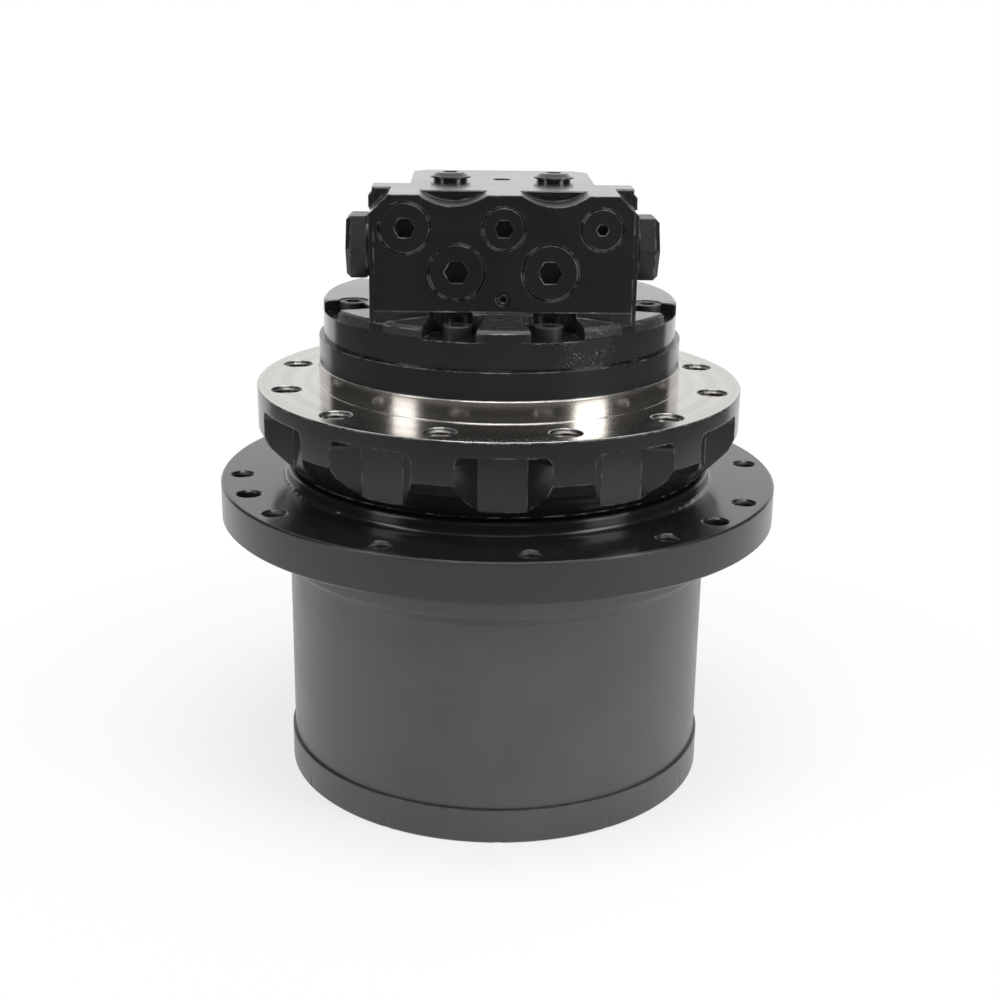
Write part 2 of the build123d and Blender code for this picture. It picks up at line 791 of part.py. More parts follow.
for n in range(planets):
    angle_1 = first_planet_1_angle + 360 * n / planets
    planet_1 = gear(upright_plane(pin_1_places[n], angle_1, stage_1_z), planet_1_teeth, face_1, planet_bore)
    save(planet_1, f"planet_1{letters[n]}")
    angle_2 = first_planet_angle + 360 * n / planets
    planet_2 = gear(upright_plane(pin_2_places[n], angle_2, stage_2_z), planet_2_teeth, face_2, planet_bore)
    save(planet_2, f"planet_2{letters[n]}")

needle_bearings_1 = rings_at(pin_1_places, pin_radius, needle_radius, [(stage_1_z + needle_end_room, stage_1_top - needle_end_room)])
save(needle_bearings_1, "needle_bearings_1")
needle_bearings_2 = rings_at(pin_2_places, pin_radius, needle_radius, [(stage_2_z + needle_end_room, stage_2_top - needle_end_room)])
save(needle_bearings_2, "needle_bearings_2")

planet_pins_2 = headed_pins(pin_2_places, pin_2_z, nose_z + spindle_pin_depth)
save(planet_pins_2, "planet_pins_2")

planet_pins_1 = headed_pins(pin_1_places, washer_1_z - pin_head_thickness, carrier_top)
save(planet_pins_1, "planet_pins_1")
thrust_washers_1 = rings_at(pin_1_places, pin_radius, washer_radius,
                            [(washer_1_z, washer_1_z + washer_thickness),
                             (carrier_z - washer_thickness, carrier_z)])
save(thrust_washers_1, "thrust_washers_1")

sun_2_root = module * sun_2_teeth / 2 - dedendum * module
sun_2_spline = sun_2_root - spline_root_wall

with BuildPart() as carrier_1:
    with BuildSketch(Plane.XY.offset(carrier_z)):
        with PolarLocations(centre_1, planets, start_angle=first_planet_1_angle):
            Circle(carrier_arm_radius)
        Circle(centre_1 - carrier_core_inset)
        with Locations(*pin_1_places):
            Circle(pin_radius, mode=Mode.SUBTRACT)
        with BuildLine():
            Polyline(*spline_outline(sun_2_spline), close=True)
        make_face(mode=Mode.SUBTRACT)
    extrude(amount=carrier_thickness)
save(carrier_1, "carrier_1")

sun_2_teeth_z = carrier_top + free_gap
sun_2_top = nose_z - washer_thickness - axial_play
with BuildPart() as sun_2:
    with BuildSketch(upright_plane((0, 0), first_planet_angle, sun_2_teeth_z)):
        with BuildLine():
            Polyline(*external_outline(sun_2_teeth), close=True)
        make_face()
        Circle(hollow_sun_bore, mode=Mode.SUBTRACT)
    extrude(amount=sun_2_top - sun_2_teeth_z)
    with BuildSketch(Plane.XY.offset(carrier_z)):
        with BuildLine():
            Polyline(*spline_outline(sun_2_spline), close=True)
        make_face()
        Circle(hollow_sun_bore, mode=Mode.SUBTRACT)
    extrude(amount=sun_2_teeth_z - carrier_z)
save(sun_2, "sun_2")

with BuildPart() as thrust_washers_2:
    for washer_z in (washer_2_z, nose_z - washer_thickness):
        with BuildSketch(Plane.XY.offset(washer_z)):
            with Locations(*pin_2_places):
                Circle(washer_radius)
                Circle(pin_radius, mode=Mode.SUBTRACT)
        extrude(amount=washer_thickness)
    with BuildSketch(Plane.XY.offset(nose_z - washer_thickness)):
        Circle(sun_2_root)
        Circle(coupling_bore_radius, mode=Mode.SUBTRACT)
    extrude(amount=washer_thickness)
save(thrust_washers_2, "thrust_washers_2")

# Motor side shafts
sleeve_z = shaft_bearing_z - sleeve_end_room - sleeve_length
shaft_joint_z = sleeve_z + sleeve_length / 2
sun_1_plane = upright_plane((0, 0), first_planet_1_angle + 180 / sun_1_teeth, sun_z)
with BuildPart() as sun_shaft:
    with BuildSketch(sun_1_plane):
        with BuildLine():
            Polyline(*external_outline(sun_1_teeth), close=True)
        make_face()
    extrude(amount=stage_1_top + free_gap - sun_z)
    with BuildSketch(Plane.XY.offset(stage_1_top)):
        Circle(sun_shaft_radius - spline_depth)
    extrude(amount=sleeve_z - stage_1_top)
    with BuildSketch(Plane.XY.offset(sleeve_z)):
        with BuildLine():
            Polyline(*spline_outline(sun_shaft_radius), close=True)
        make_face()
    extrude(amount=shaft_joint_z - free_gap / 2 - sleeve_z)
save(sun_shaft, "sun_shaft")

with BuildPart() as coupling_sleeve:
    with BuildSketch(Plane.XY.offset(sleeve_z)):
        Circle(sleeve_radius)
        with BuildLine():
            Polyline(*spline_outline(sun_shaft_radius), close=True)
        make_face(mode=Mode.SUBTRACT)
    extrude(amount=sleeve_length)
save(coupling_sleeve, "coupling_sleeve")

rear_bearing_z = case_z - rear_bearing_room - rear_bearing_width
block_top = block_z + block_height
shaft_top = case_z - shaft_end_room
with BuildPart() as motor_shaft:
    with BuildSketch(Plane.XY.offset(shaft_joint_z + free_gap / 2)):
        with BuildLine():
            Polyline(*spline_outline(sun_shaft_radius), close=True)
        make_face()
    extrude(amount=shaft_bearing_z - free_gap - shaft_joint_z - free_gap / 2)
    with BuildSketch(Plane.XY.offset(shaft_bearing_z - free_gap)):
        Circle(shaft_radius)
    extrude(amount=block_z + free_gap - shaft_bearing_z + free_gap)
    with BuildSketch(Plane.XY.offset(block_z + free_gap)):
        with BuildLine():
            Polyline(*spline_outline(shaft_radius + spline_depth), close=True)
        make_face()
    extrude(amount=block_height - 2 * free_gap)
    with BuildSketch(Plane.XY.offset(block_top - free_gap)):
        Circle(shaft_end_radius)
    extrude(amount=shaft_top - block_top + free_gap)
    chamfer(motor_shaft.faces().sort_by(Axis.Z)[-1].edges(), length=edge_break)
save(motor_shaft, "motor_shaft")

with BuildPart() as shaft_bearings:
    with BuildSketch(Plane.XY.offset(shaft_bearing_z)):
        Circle(shaft_bearing_radius)
        Circle(shaft_radius + running, mode=Mode.SUBTRACT)
    extrude(amount=shaft_bearing_width)
    with BuildSketch(Plane.XY.offset(rear_bearing_z)):
        Circle(rear_bearing_radius)
        Circle(shaft_end_radius + running, mode=Mode.SUBTRACT)
    extrude(amount=rear_bearing_width)
save(shaft_bearings, "shaft_bearings")
shaft_seal = ring(shaft_radius + running, shaft_seal_radius, shaft_seal_z + shaft_seal_room,
                  cavity_z - shaft_seal_room)
save(shaft_seal, "shaft_seal")

# Swash plate at neutral on its two pivots, with the control piston under it
with BuildPart() as swash_plate:
    with BuildSketch(Plane.XZ):
        with BuildLine():
            Polyline((swash_bore, swash_z), (swash_radius - swash_bevel, swash_z),
                     (swash_radius, swash_z + swash_bevel), (swash_radius, swash_top),
                     (swash_bore, swash_top), close=True)
        make_face()
    revolve(axis=Axis.Z)
    add(pivot_barrels(running).part, mode=Mode.SUBTRACT)
save(swash_plate, "swash_plate")
save(pivot_barrels(0.0), "swash_pivots")
control_piston = rings_at([(0, control_piston_place)], 0, control_piston_radius,
                          [(cavity_z - control_piston_depth + control_piston_room, swash_z)])
save(control_piston, "control_piston")

# Rotating group: slippers, retainer, pistons and cylinder block
piston_places = [polar(piston_circle_radius, 90 + 360 * n / piston_count)[:2] for n in range(piston_count)]
slipper_z = swash_top + running
slipper_foot_top = slipper_z + slipper_foot
slipper_top = slipper_z + slipper_height
piston_z = slipper_top + slipper_gap
with BuildPart() as slippers:
    with BuildSketch(Plane.XY.offset(slipper_z)):
        with Locations(*piston_places):
            Circle(slipper_radius)
    extrude(amount=slipper_foot)
    with BuildSketch(Plane.XY.offset(slipper_foot_top)):
        with Locations(*piston_places):
            Circle(piston_radius - slipper_gap)
    extrude(amount=slipper_height - slipper_foot)
save(slippers, "slippers")

with BuildPart() as retainer:
    with BuildSketch(Plane.XY.offset(slipper_foot_top)):
        Circle(piston_circle_radius + slipper_radius + retainer_rim)
        Circle(shaft_radius + block_spline_depth + retainer_rim, mode=Mode.SUBTRACT)
        with Locations(*piston_places):
            Circle(piston_radius, mode=Mode.SUBTRACT)
    extrude(amount=retainer_thickness)
save(retainer, "retainer_plate")

with BuildPart() as pistons:
    with BuildSketch(Plane.XY.offset(slipper_top)):
        with Locations(*piston_places):
            Circle(piston_neck_radius)
    extrude(amount=slipper_gap)
    with BuildSketch(Plane.XY.offset(piston_z)):
        with Locations(*piston_places):
            Circle(piston_radius)
    extrude(amount=piston_length)
save(pistons, "pistons")

spring_inner = shaft_radius + spline_depth + spring_room
spring_outer = spring_inner + spring_wall
with BuildPart() as cylinder_block:
    with BuildSketch(Plane.XY.offset(block_z)):
        Circle(block_radius)
        with Locations(*piston_places):
            Circle(piston_radius + running, mode=Mode.SUBTRACT)
        with BuildLine():
            Polyline(*spline_outline(shaft_radius + spline_depth), close=True)
        make_face(mode=Mode.SUBTRACT)
    extrude(amount=block_height - block_neck_height)
    with BuildSketch(Plane.XY.offset(block_top - block_neck_height)):
        Circle(block_radius - block_neck_step)
        Circle(shaft_radius + spline_depth + free_gap, mode=Mode.SUBTRACT)
    extrude(amount=block_neck_height)
    with BuildSketch(Plane.XY.offset(block_z + block_spline_start)):
        with BuildLine():
            Polyline(*spline_outline(block_radius + block_spline_depth, block_spline_teeth,
                                     block_spline_depth + free_gap), close=True)
        make_face()
        Circle(block_radius - 2 * free_gap, mode=Mode.SUBTRACT)
    extrude(amount=block_spline_length)
    with BuildSketch(Plane.XY.offset(block_z)):
        Circle(spring_outer + spring_room)
    extrude(amount=spring_seat_depth, mode=Mode.SUBTRACT)
save(cylinder_block, "cylinder_block")

block_spring = ring(spring_inner, spring_outer, slipper_foot_top + retainer_thickness,
                    block_z + spring_seat_depth)
save(block_spring, "block_spring")

with BuildPart() as valve_plate:
    with BuildSketch(Plane.XY.offset(valve_plate_z)):
        Circle(valve_plate_radius)
        Circle(rear_bearing_radius, mode=Mode.SUBTRACT)
        for side in (-kidney_sweep / 2, 180 - kidney_sweep / 2):
            kidney = CenterArc((0, 0), piston_circle_radius, side, kidney_sweep, mode=Mode.PRIVATE)
            SlotArc(kidney, kidney_width, mode=Mode.SUBTRACT)
    extrude(amount=valve_plate_thickness)
save(valve_plate, "valve_plate")

# Parking brake: friction discs on the cylinder block, steel plates in the case, piston and disc spring
stack_z = block_z + brake_stack_start
friction_step = steel_plate_thickness + friction_disc_thickness + 2 * plate_gap
with BuildPart() as friction_discs:
    for n in range(friction_disc_count):
        with BuildSketch(Plane.XY.offset(stack_z + steel_plate_thickness + plate_gap + n * friction_step)):
            Circle(brake_disc_outer)
            with BuildLine():
                Polyline(*spline_outline(block_radius + block_spline_depth, block_spline_teeth,
                                         block_spline_depth, -running), close=True)
            make_face(mode=Mode.SUBTRACT)
            Circle(block_radius + running, mode=Mode.SUBTRACT)
        extrude(amount=friction_disc_thickness)
save(friction_discs, "friction_discs")
with BuildPart() as steel_plates:
    for n in range(friction_disc_count + 1):
        with BuildSketch(Plane.XY.offset(stack_z + n * friction_step)):
            Circle(cavity_radius)
            Circle(brake_disc_inner, mode=Mode.SUBTRACT)
        extrude(amount=steel_plate_thickness)
save(steel_plates, "steel_plates")
brake_piston_z = stack_z + friction_disc_count * friction_step + steel_plate_thickness
brake_piston_top = brake_piston_z + brake_piston_height
brake_piston_step_z = brake_piston_z + brake_piston_foot
brake_piston = turned([(brake_piston_bore, brake_piston_z), (brake_disc_outer, brake_piston_z),
                       (brake_disc_outer, brake_piston_step_z), (cavity_radius - running, brake_piston_step_z),
                       (cavity_radius - running, brake_piston_top), (brake_piston_bore, brake_piston_top)])
save(brake_piston, "brake_piston")
brake_spring_inner = brake_piston_bore + free_gap
brake_spring_outer = cavity_radius - free_gap
brake_spring = turned([(brake_spring_inner, brake_piston_top),
                       (brake_spring_inner + brake_spring_sheet, brake_piston_top),
                       (brake_spring_outer, case_z), (brake_spring_outer - brake_spring_sheet, case_z)])
save(brake_spring, "brake_spring")

# Rear flange and valve block in one casting
spool_z = disc_z + spool_height
spool_y = spool_setback - block_front
lower_plug_places = [(-lower_plug_offset, lower_plug_height), (lower_plug_offset, lower_plug_height)]
top_plug_y = top_plug_setback - block_front
top_plug_places = [(-top_plug_offset, top_plug_y), (top_plug_offset, top_plug_y)]
front_plane = Plane(origin=(0, -block_front, disc_z), x_dir=(1, 0, 0), z_dir=(0, -1, 0))
back_plane = Plane(origin=(0, rear_depth, disc_z), x_dir=(-1, 0, 0), z_dir=(0, 1, 0))
port_places = [(-port_offset, port_height), (port_offset, port_height)]
small_port_places = [(0.0, height) for height in small_port_heights]
plug_holes = [([(x, height)], radius) for x, height, radius, plug_socket in front_plugs.values()]
plug_holes.append((lower_plug_places, lower_plug_radius))
wing_y = wing_depth - block_front
machined_y = block_machined_depth - block_front
pocket_floor_z = disc_z - pocket_depth

with BuildPart() as rear_flange:
    with BuildSketch(Plane.XZ):
        with BuildLine():
            Polyline((0, case_z), (disc_radius, case_z), (disc_radius, disc_z - disc_edge),
                     (disc_radius - disc_edge, disc_z), (0, disc_z), close=True)
        make_face()
    revolve(axis=Axis.Z)
    with BuildSketch(Plane.XZ.rotated((0, 0, -90 - shelf_half_turn))):
        with BuildLine():
            Polyline((shelf_inner - pocket_length, disc_z - free_gap), (disc_radius - disc_edge, disc_z - free_gap),
                     (disc_radius - disc_edge, disc_z), (shelf_inner, disc_z + shelf_height),
                     (shelf_inner - pocket_length, disc_z + shelf_height), close=True)
        make_face()
    revolve(axis=Axis.Z, revolution_arc=2 * shelf_half_turn)
    with BuildSketch(Plane.XY.offset(case_z)):
        Circle(boss_radius)
    extrude(amount=valve_plate_z + valve_plate_thickness - case_z)
    with BuildSketch(Plane.XY.offset(valve_plate_z)):
        Circle(rear_bearing_radius)
    extrude(amount=rear_bearing_z + rear_bearing_width - valve_plate_z, mode=Mode.SUBTRACT)
    with BuildSketch(Plane.XY.offset(disc_z - free_gap)):
        with BuildLine():
            Polyline((-rear_half_width, wing_y), (-block_half_width, wing_y),
                     (-block_half_width, block_edge - block_front), (block_edge - block_half_width, -block_front),
                     (block_half_width - block_edge, -block_front), (block_half_width, block_edge - block_front),
                     (block_half_width, wing_y), (rear_half_width, wing_y),
                     (rear_half_width, rear_depth - rear_bevel), (rear_half_width - rear_bevel, rear_depth),
                     (rear_bevel - rear_half_width, rear_depth), (-rear_half_width, rear_depth - rear_bevel),
                     close=True)
        make_face()
    extrude(amount=block_rise + free_gap)
    for side in (-1, 1):
        with BuildSketch(front_plane):
            with BuildLine():
                Polyline((side * block_half_width, block_rise - block_corner),
                         (side * (block_half_width - block_corner), block_rise),
                         (side * (block_half_width + block_corner), block_rise + block_corner), close=True)
            make_face()
        extrude(amount=-block_machined_depth, mode=Mode.SUBTRACT)
        with BuildSketch(front_plane.offset(-block_machined_depth)):
            with BuildLine():
                Polyline((side * (block_half_width - block_corner), 0),
                         (side * (block_half_width + shoulder_step), 0),
                         (side * (block_half_width + shoulder_step), block_rise - shoulder_sink - shoulder_bevel),
                         (side * (block_half_width + shoulder_step - shoulder_bevel), block_rise - shoulder_sink),
                         (side * (block_half_width - block_corner), block_rise - shoulder_sink), close=True)
            make_face()
        extrude(amount=machined_y - wing_y)
        with BuildSketch(Plane(origin=(side * block_half_width, spool_y, spool_z), z_dir=(side, 0, 0))):
            Circle(cap_hexagon_radius + free_gap)
        extrude(amount=shoulder_step + free_gap, mode=Mode.SUBTRACT)
    with BuildSketch(front_plane):
        with Locations((-notch_offset, block_rise + notch_radius - notch_sink),
                       (notch_offset, block_rise + notch_radius - notch_sink)):
            Circle(notch_radius)
    extrude(amount=-notch_depth, mode=Mode.SUBTRACT)
    for angle in pocket_angles:
        pocket_plane = Plane(origin=polar(0, 0, pocket_floor_z), x_dir=polar(1, angle), z_dir=(0, 0, 1))
        with BuildSketch(pocket_plane):
            with Locations((disc_radius + pocket_corner - pocket_length / 2, 0)):
                RectangleRounded(pocket_length, pocket_width, pocket_corner - tiny)
        extrude(amount=pocket_depth + arch_rise, mode=Mode.SUBTRACT)
    with BuildSketch(Plane.XY.offset(case_z)):
        with Locations(*flange_screw_places):
            Circle(flange_screw_radius + running)
    extrude(amount=disc_thickness, mode=Mode.SUBTRACT)
    with BuildSketch(Plane.XY.offset(head_foot_z)):
        with Locations(*flange_screw_places):
            Circle(flange_head_radius + flange_head_room)
    extrude(amount=disc_z + arch_rise - head_foot_z, mode=Mode.SUBTRACT)
    for places, radius in plug_holes:
        with BuildSketch(front_plane):
            with Locations(*places):
                Circle(radius)
        extrude(amount=-front_plug_depth, mode=Mode.SUBTRACT)
        with Locations(*[(x, -block_front, disc_z + height) for x, height in places]):
            Cone(radius, radius + plug_seat_bevel, plug_seat_bevel, rotation=(90, 0, 0),
                 align=(Align.CENTER, Align.CENTER, Align.MAX), mode=Mode.SUBTRACT)
    with BuildSketch(Plane.XY.offset(block_top_z)):
        with Locations(*top_plug_places):
            Circle(top_plug_radius)
    extrude(amount=-top_plug_depth, mode=Mode.SUBTRACT)
    with BuildSketch(Plane.XY.offset(block_top_z)):
        with Locations((0, lifting_hole_setback - block_front)):
            Circle(lifting_hole_radius)
    extrude(amount=-lifting_hole_depth, mode=Mode.SUBTRACT)
    with BuildSketch(Plane(origin=(-block_half_width, spool_y, spool_z), z_dir=(1, 0, 0))):
        Circle(spool_bore_radius)
    extrude(amount=2 * block_half_width, mode=Mode.SUBTRACT)
    with BuildSketch(back_plane):
        with Locations(*port_places):
            Circle(port_radius)
        with Locations(*small_port_places):
            Circle(small_port_radius)
    extrude(amount=-port_depth, mode=Mode.SUBTRACT)
save(rear_flange, "rear_flange")

flange_screws = screws(flange_screw_places, screw_tip_z, head_top_z, flange_screw_radius,
                       flange_head_radius, flange_head_height, flange_socket_radius, True)
save(flange_screws, "rear_flange_screws")


# Plugs in the front face, each with a hexagon socket, in a hole with a bevelled mouth
def front_plug(places, radius, socket):
    with BuildPart() as plug:
        with BuildSketch(front_plane.offset(-front_plug_depth)):
            with Locations(*places):
                Circle(radius)
        extrude(amount=front_plug_depth + front_plug_rise)
        with BuildSketch(front_plane.offset(front_plug_rise)):
            with Locations(*places):
                RegularPolygon(socket, 6)
        extrude(amount=-front_plug_depth * plug_socket_share, mode=Mode.SUBTRACT)
    return plug


for plug_name, (plug_x, plug_height, plug_radius, plug_socket) in front_plugs.items():
    save(front_plug([(plug_x, plug_height)], plug_radius, plug_socket), plug_name)
save(front_plug(lower_plug_places, lower_plug_radius, lower_plug_socket), "plugs_lower")

top_plug_seat_z = block_top_z + top_plug_rise
top_plug_crown_z = top_plug_seat_z + top_plug_flange_height
top_plug_top_z = top_plug_crown_z + top_plug_crown_height
with BuildPart() as top_plugs:
    with BuildSketch(Plane.XY.offset(block_top_z - top_plug_depth)):
        with Locations(*top_plug_places):
            Circle(top_plug_radius)
    extrude(amount=top_plug_depth + top_plug_rise)
    with BuildSketch(Plane.XY.offset(top_plug_seat_z)):
        with Locations(*top_plug_places):
            Circle(top_plug_flange_radius)
    extrude(amount=top_plug_flange_height)
    with Locations(*[(x, y, top_plug_crown_z) for x, y in top_plug_places]):
        Cone(top_plug_cap_radius, top_plug_crown_radius, top_plug_crown_height,
             align=(Align.CENTER, Align.CENTER, Align.MIN))
    with BuildSketch(Plane.XY.offset(top_plug_top_z)):
        with Locations(*top_plug_places):
            RegularPolygon(top_plug_socket, 6)
    extrude(amount=-top_plug_depth * plug_socket_share, mode=Mode.SUBTRACT)
save(top_plugs, "plugs_top")

# Counterbalance valve: spool across the block between two caps
spool_axis = Axis((0, spool_y, spool_z), (1, 0, 0))
spool_plane = Plane(origin=(0, spool_y, spool_z), x_dir=(1, 0, 0), z_dir=(0, -1, 0))
spool_fit = spool_bore_radius - running
cap_inside = block_half_width - cap_plug_length
cap_washer_face = block_half_width + cap_washer_thickness
with BuildPart() as spool_caps:
    for side in (-1, 1):
        with BuildSketch(spool_plane):
            with BuildLine():
                Polyline((side * cap_inside, 0), (side * cap_inside, spool_fit),
                         (side * block_half_width, spool_fit), (side * block_half_width, cap_washer_radius),
                         (side * cap_washer_face, cap_washer_radius), (side * cap_washer_face, 0), close=True)
            make_face()
        revolve(axis=spool_axis)
        cap_plane = Plane(origin=(side * cap_washer_face, spool_y, spool_z), x_dir=(0, 1, 0), z_dir=(side, 0, 0))
        with BuildSketch(cap_plane):
            RegularPolygon(cap_hexagon_radius, 6)
        extrude(amount=cap_hexagon_length)
        with BuildSketch(cap_plane.offset(cap_hexagon_length)):
            RegularPolygon(cap_hexagon_radius, 6)
        with BuildSketch(cap_plane.offset(cap_hexagon_length + cap_bevel)):
            RegularPolygon(cap_hexagon_radius - cap_bevel, 6)
        loft()
save(spool_caps, "spool_caps")

spool_end = cap_inside - spool_spring_room
with BuildPart() as spool:
    with BuildSketch(spool_plane):
        with BuildLine():
            Polyline((-spool_end, 0), (-spool_end, spool_fit), (-24, spool_fit), (-21, spool_waist_radius),
                     (-9, spool_waist_radius), (-6, spool_fit), (6, spool_fit), (9, spool_waist_radius),
                     (21, spool_waist_radius), (24, spool_fit), (spool_end, spool_fit), (spool_end, 0),
                     close=True)
        make_face()
    revolve(axis=spool_axis)
save(spool, "counterbalance_spool")

spring_start = spool_end + spool_travel + spring_end_room
spool_spring_radius = spool_bore_radius - free_gap
with BuildPart() as spool_springs:
    for side in (-1, 1):
        with BuildSketch(Plane(origin=(side * cap_inside, spool_y, spool_z), z_dir=(-side, 0, 0))):
            Circle(spool_spring_radius)
            Circle(spool_spring_radius - spool_spring_wall, mode=Mode.SUBTRACT)
        extrude(amount=cap_inside - spring_start)
save(spool_springs, "spool_springs")
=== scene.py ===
import bpy
import numpy as np
from math import cos, pi, radians, sin
from mathutils import Matrix, Vector


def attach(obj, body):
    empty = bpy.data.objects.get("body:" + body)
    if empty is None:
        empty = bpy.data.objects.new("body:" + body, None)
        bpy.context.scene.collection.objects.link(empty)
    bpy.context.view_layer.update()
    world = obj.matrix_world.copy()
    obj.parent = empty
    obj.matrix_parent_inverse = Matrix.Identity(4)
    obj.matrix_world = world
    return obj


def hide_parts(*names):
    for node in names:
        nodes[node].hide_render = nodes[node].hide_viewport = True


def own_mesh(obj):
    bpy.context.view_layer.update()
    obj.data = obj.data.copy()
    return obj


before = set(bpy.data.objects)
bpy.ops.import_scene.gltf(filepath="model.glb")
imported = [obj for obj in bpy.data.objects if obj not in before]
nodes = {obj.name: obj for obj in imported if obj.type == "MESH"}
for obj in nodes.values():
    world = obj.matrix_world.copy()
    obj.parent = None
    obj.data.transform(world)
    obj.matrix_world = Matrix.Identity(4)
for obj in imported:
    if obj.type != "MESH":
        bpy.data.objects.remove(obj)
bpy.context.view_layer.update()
scene = bpy.context.scene

# Camera
# The photograph is taken from a little above, so that the tops of both flanges show as ellipses.
# Position and aim come from a pinhole camera fitted to the circles of the drive.
camera_distance = 0.90796
camera_side = 0.00159
camera_height = 0.45568
camera_lens = 56.42
camera_sensor = 36.0
camera_near = 0.05
camera_pitch = radians(17.892)
camera_roll = radians(0.784)
camera_heading = radians(-1.3)

forward = Vector((0, cos(camera_pitch), -sin(camera_pitch)))
level_up = Vector((0, sin(camera_pitch), cos(camera_pitch)))
right = Vector((1, 0, 0)) * cos(camera_roll) + level_up * sin(camera_roll)
upward = right.cross(forward)
placed = Matrix((right, upward, -forward)).transposed().to_4x4()
placed.translation = (camera_side, -camera_distance, camera_height)
camera_data = bpy.data.cameras.new("studio_camera")
camera_data.lens = camera_lens
camera_data.sensor_width = camera_sensor
camera_data.clip_start = camera_near
camera = bpy.data.objects.new("studio_camera", camera_data)
scene.collection.objects.link(camera)
camera.matrix_world = Matrix.Rotation(camera_heading, 4, "Z") @ placed
scene.camera = camera
scene.view_settings.view_transform = "Standard"


# Studio floor and room
# A white table stands in a white bay that is open at the back. Dark curtains hang in front and at the
# sides, out of the picture, and show only as reflections in paint and steel. Their glow is a painted
# reflection, dim above and lighter and warmer at the foot; it lights nothing.
floor_reach = 6.0
table_white = (0.94, 0.94, 0.93, 1)
table_roughness = 0.9
plain_white = (1, 1, 1, 1)
shadow_reach = 0.15
shadow_end = 0.42
shadow_share = 0.72
bay_light = 0.42
curtain_radius = 0.86
curtain_half_turn = radians(128)
curtain_height = 1.15
curtain_steps = 64
curtain_gap = 0.001
curtain_foot = 0.05
foot_glow_top = 0.17
reflected_glow_at_foot = (0.25, 0.23, 0.21, 1)
reflected_glow_above = (0.055, 0.055, 0.055, 1)


def put_in_scene(name, points, faces):
    """Mesh object of the given corner points and faces, standing at the origin."""
    mesh = bpy.data.meshes.new(name)
    mesh.from_pydata(points.tolist(), [], faces.tolist())
    mesh.validate()
    made = bpy.data.objects.new(name, mesh)
    scene.collection.objects.link(made)
    return made


def add_node(tree, kind, settings=None, **inputs):
    """One shader node, with its settings, and each input set to a value or joined to a socket.
    An input is named, with _ for a space, or numbered as i0, i1 and so on."""
    made = tree.nodes.new(kind)
    for key, value in (settings or {}).items():
        setattr(made, key, value)
    for key, value in inputs.items():
        numbered = key[0] == "i" and key[1:].isdigit()
        socket = made.inputs[int(key[1:])] if numbered else made.inputs[key.replace("_", " ")]
        if isinstance(value, bpy.types.NodeSocket):
            tree.links.new(value, socket)
        else:
            socket.default_value = value
    return made


def empty_material(name):
    """Material with an empty node tree and its output node."""
    made = bpy.data.materials.new(name)
    made.use_nodes = True
    made.node_tree.nodes.clear()
    return made, made.node_tree, made.node_tree.nodes.new("ShaderNodeOutputMaterial")


def math_node(tree, operation, first, second=0.0):
    """Result of one Math node."""
    return add_node(tree, "ShaderNodeMath", {"operation": operation}, i0=first, i1=second).outputs[0]


def mapped(tree, value, low, high, least=0.0, most=1.0):
    """Least where the value is at low or beyond it, most at high or beyond it, and even in between."""
    return add_node(tree, "ShaderNodeMapRange", {"clamp": True}, Value=value, From_Min=low,
                    From_Max=high, To_Min=least, To_Max=most).outputs[0]


def seen_or_mirrored(tree):
    """1 for what the camera sees, directly, mirrored or through glass, and 0 for light that falls."""
    path = add_node(tree, "ShaderNodeLightPath").outputs
    shown = math_node(tree, "MAXIMUM", path["Is Camera Ray"], path["Is Glossy Ray"])
    return math_node(tree, "MAXIMUM", shown, path["Is Transmission Ray"])


table_points = np.array([(-floor_reach, -floor_reach, 0), (floor_reach, -floor_reach, 0),
                         (floor_reach, floor_reach, 0), (-floor_reach, floor_reach, 0)])
table = put_in_scene("studio_table", table_points, np.array([[0, 1, 2, 3]]))
table_paint, tree, output = empty_material("table_white")
table_shader = add_node(tree, "ShaderNodeBsdfPrincipled", Base_Color=table_white, Roughness=table_roughness)
table_glow = add_node(tree, "ShaderNodeEmission", Color=plain_white, Strength=1.0)
place = add_node(tree, "ShaderNodeTexCoord").outputs["Object"]
away = add_node(tree, "ShaderNodeVectorMath", {"operation": "LENGTH"}, i0=place).outputs["Value"]
whiteness = mapped(tree, away, shadow_reach, shadow_end, shadow_share, 1.0)
whiteness = math_node(tree, "MULTIPLY", whiteness, seen_or_mirrored(tree))
table_mix = add_node(tree, "ShaderNodeMixShader", i0=whiteness, i1=table_shader.outputs[0],
                     i2=table_glow.outputs[0])
tree.links.new(table_mix.outputs[0], output.inputs[0])
table.data.materials.append(table_paint)

# The curtain's points are radius * (sin turn, -cos turn), once just above the floor and once at its top.
turn = np.linspace(-curtain_half_turn, curtain_half_turn, curtain_steps)
rim = np.stack([curtain_radius * np.sin(turn), -curtain_radius * np.cos(turn)], axis=1)
curtain_points = np.concatenate([np.column_stack([rim, np.full(curtain_steps, curtain_gap)]),
                                 np.column_stack([rim, np.full(curtain_steps, curtain_height)])])
column = np.arange(curtain_steps - 1)
curtain_faces = np.stack([column, column + 1, column + 1 + curtain_steps, column + curtain_steps], axis=1)
curtain = put_in_scene("studio_curtain", curtain_points, curtain_faces)
curtain.visible_camera = False
curtain.visible_diffuse = False
curtain.visible_shadow = False
curtain.visible_transmission = False
# Painted reflection: the curtain glows dim above and lighter and warmer at its foot, seen only in paint and
# steel.
curtain_reflection_glow, tree, output = empty_material("curtain_reflection_glow")
place = add_node(tree, "ShaderNodeTexCoord").outputs["Object"]
level = add_node(tree, "ShaderNodeSeparateXYZ", Vector=place).outputs[2]
reflected_glow = add_node(tree, "ShaderNodeMix", {"data_type": "RGBA"},
                 i0=mapped(tree, level, curtain_foot, foot_glow_top),
                 i6=reflected_glow_at_foot, i7=reflected_glow_above).outputs[2]
glow = add_node(tree, "ShaderNodeEmission", Color=reflected_glow, Strength=1.0)
tree.links.new(glow.outputs[0], output.inputs[0])
curtain.data.materials.append(curtain_reflection_glow)

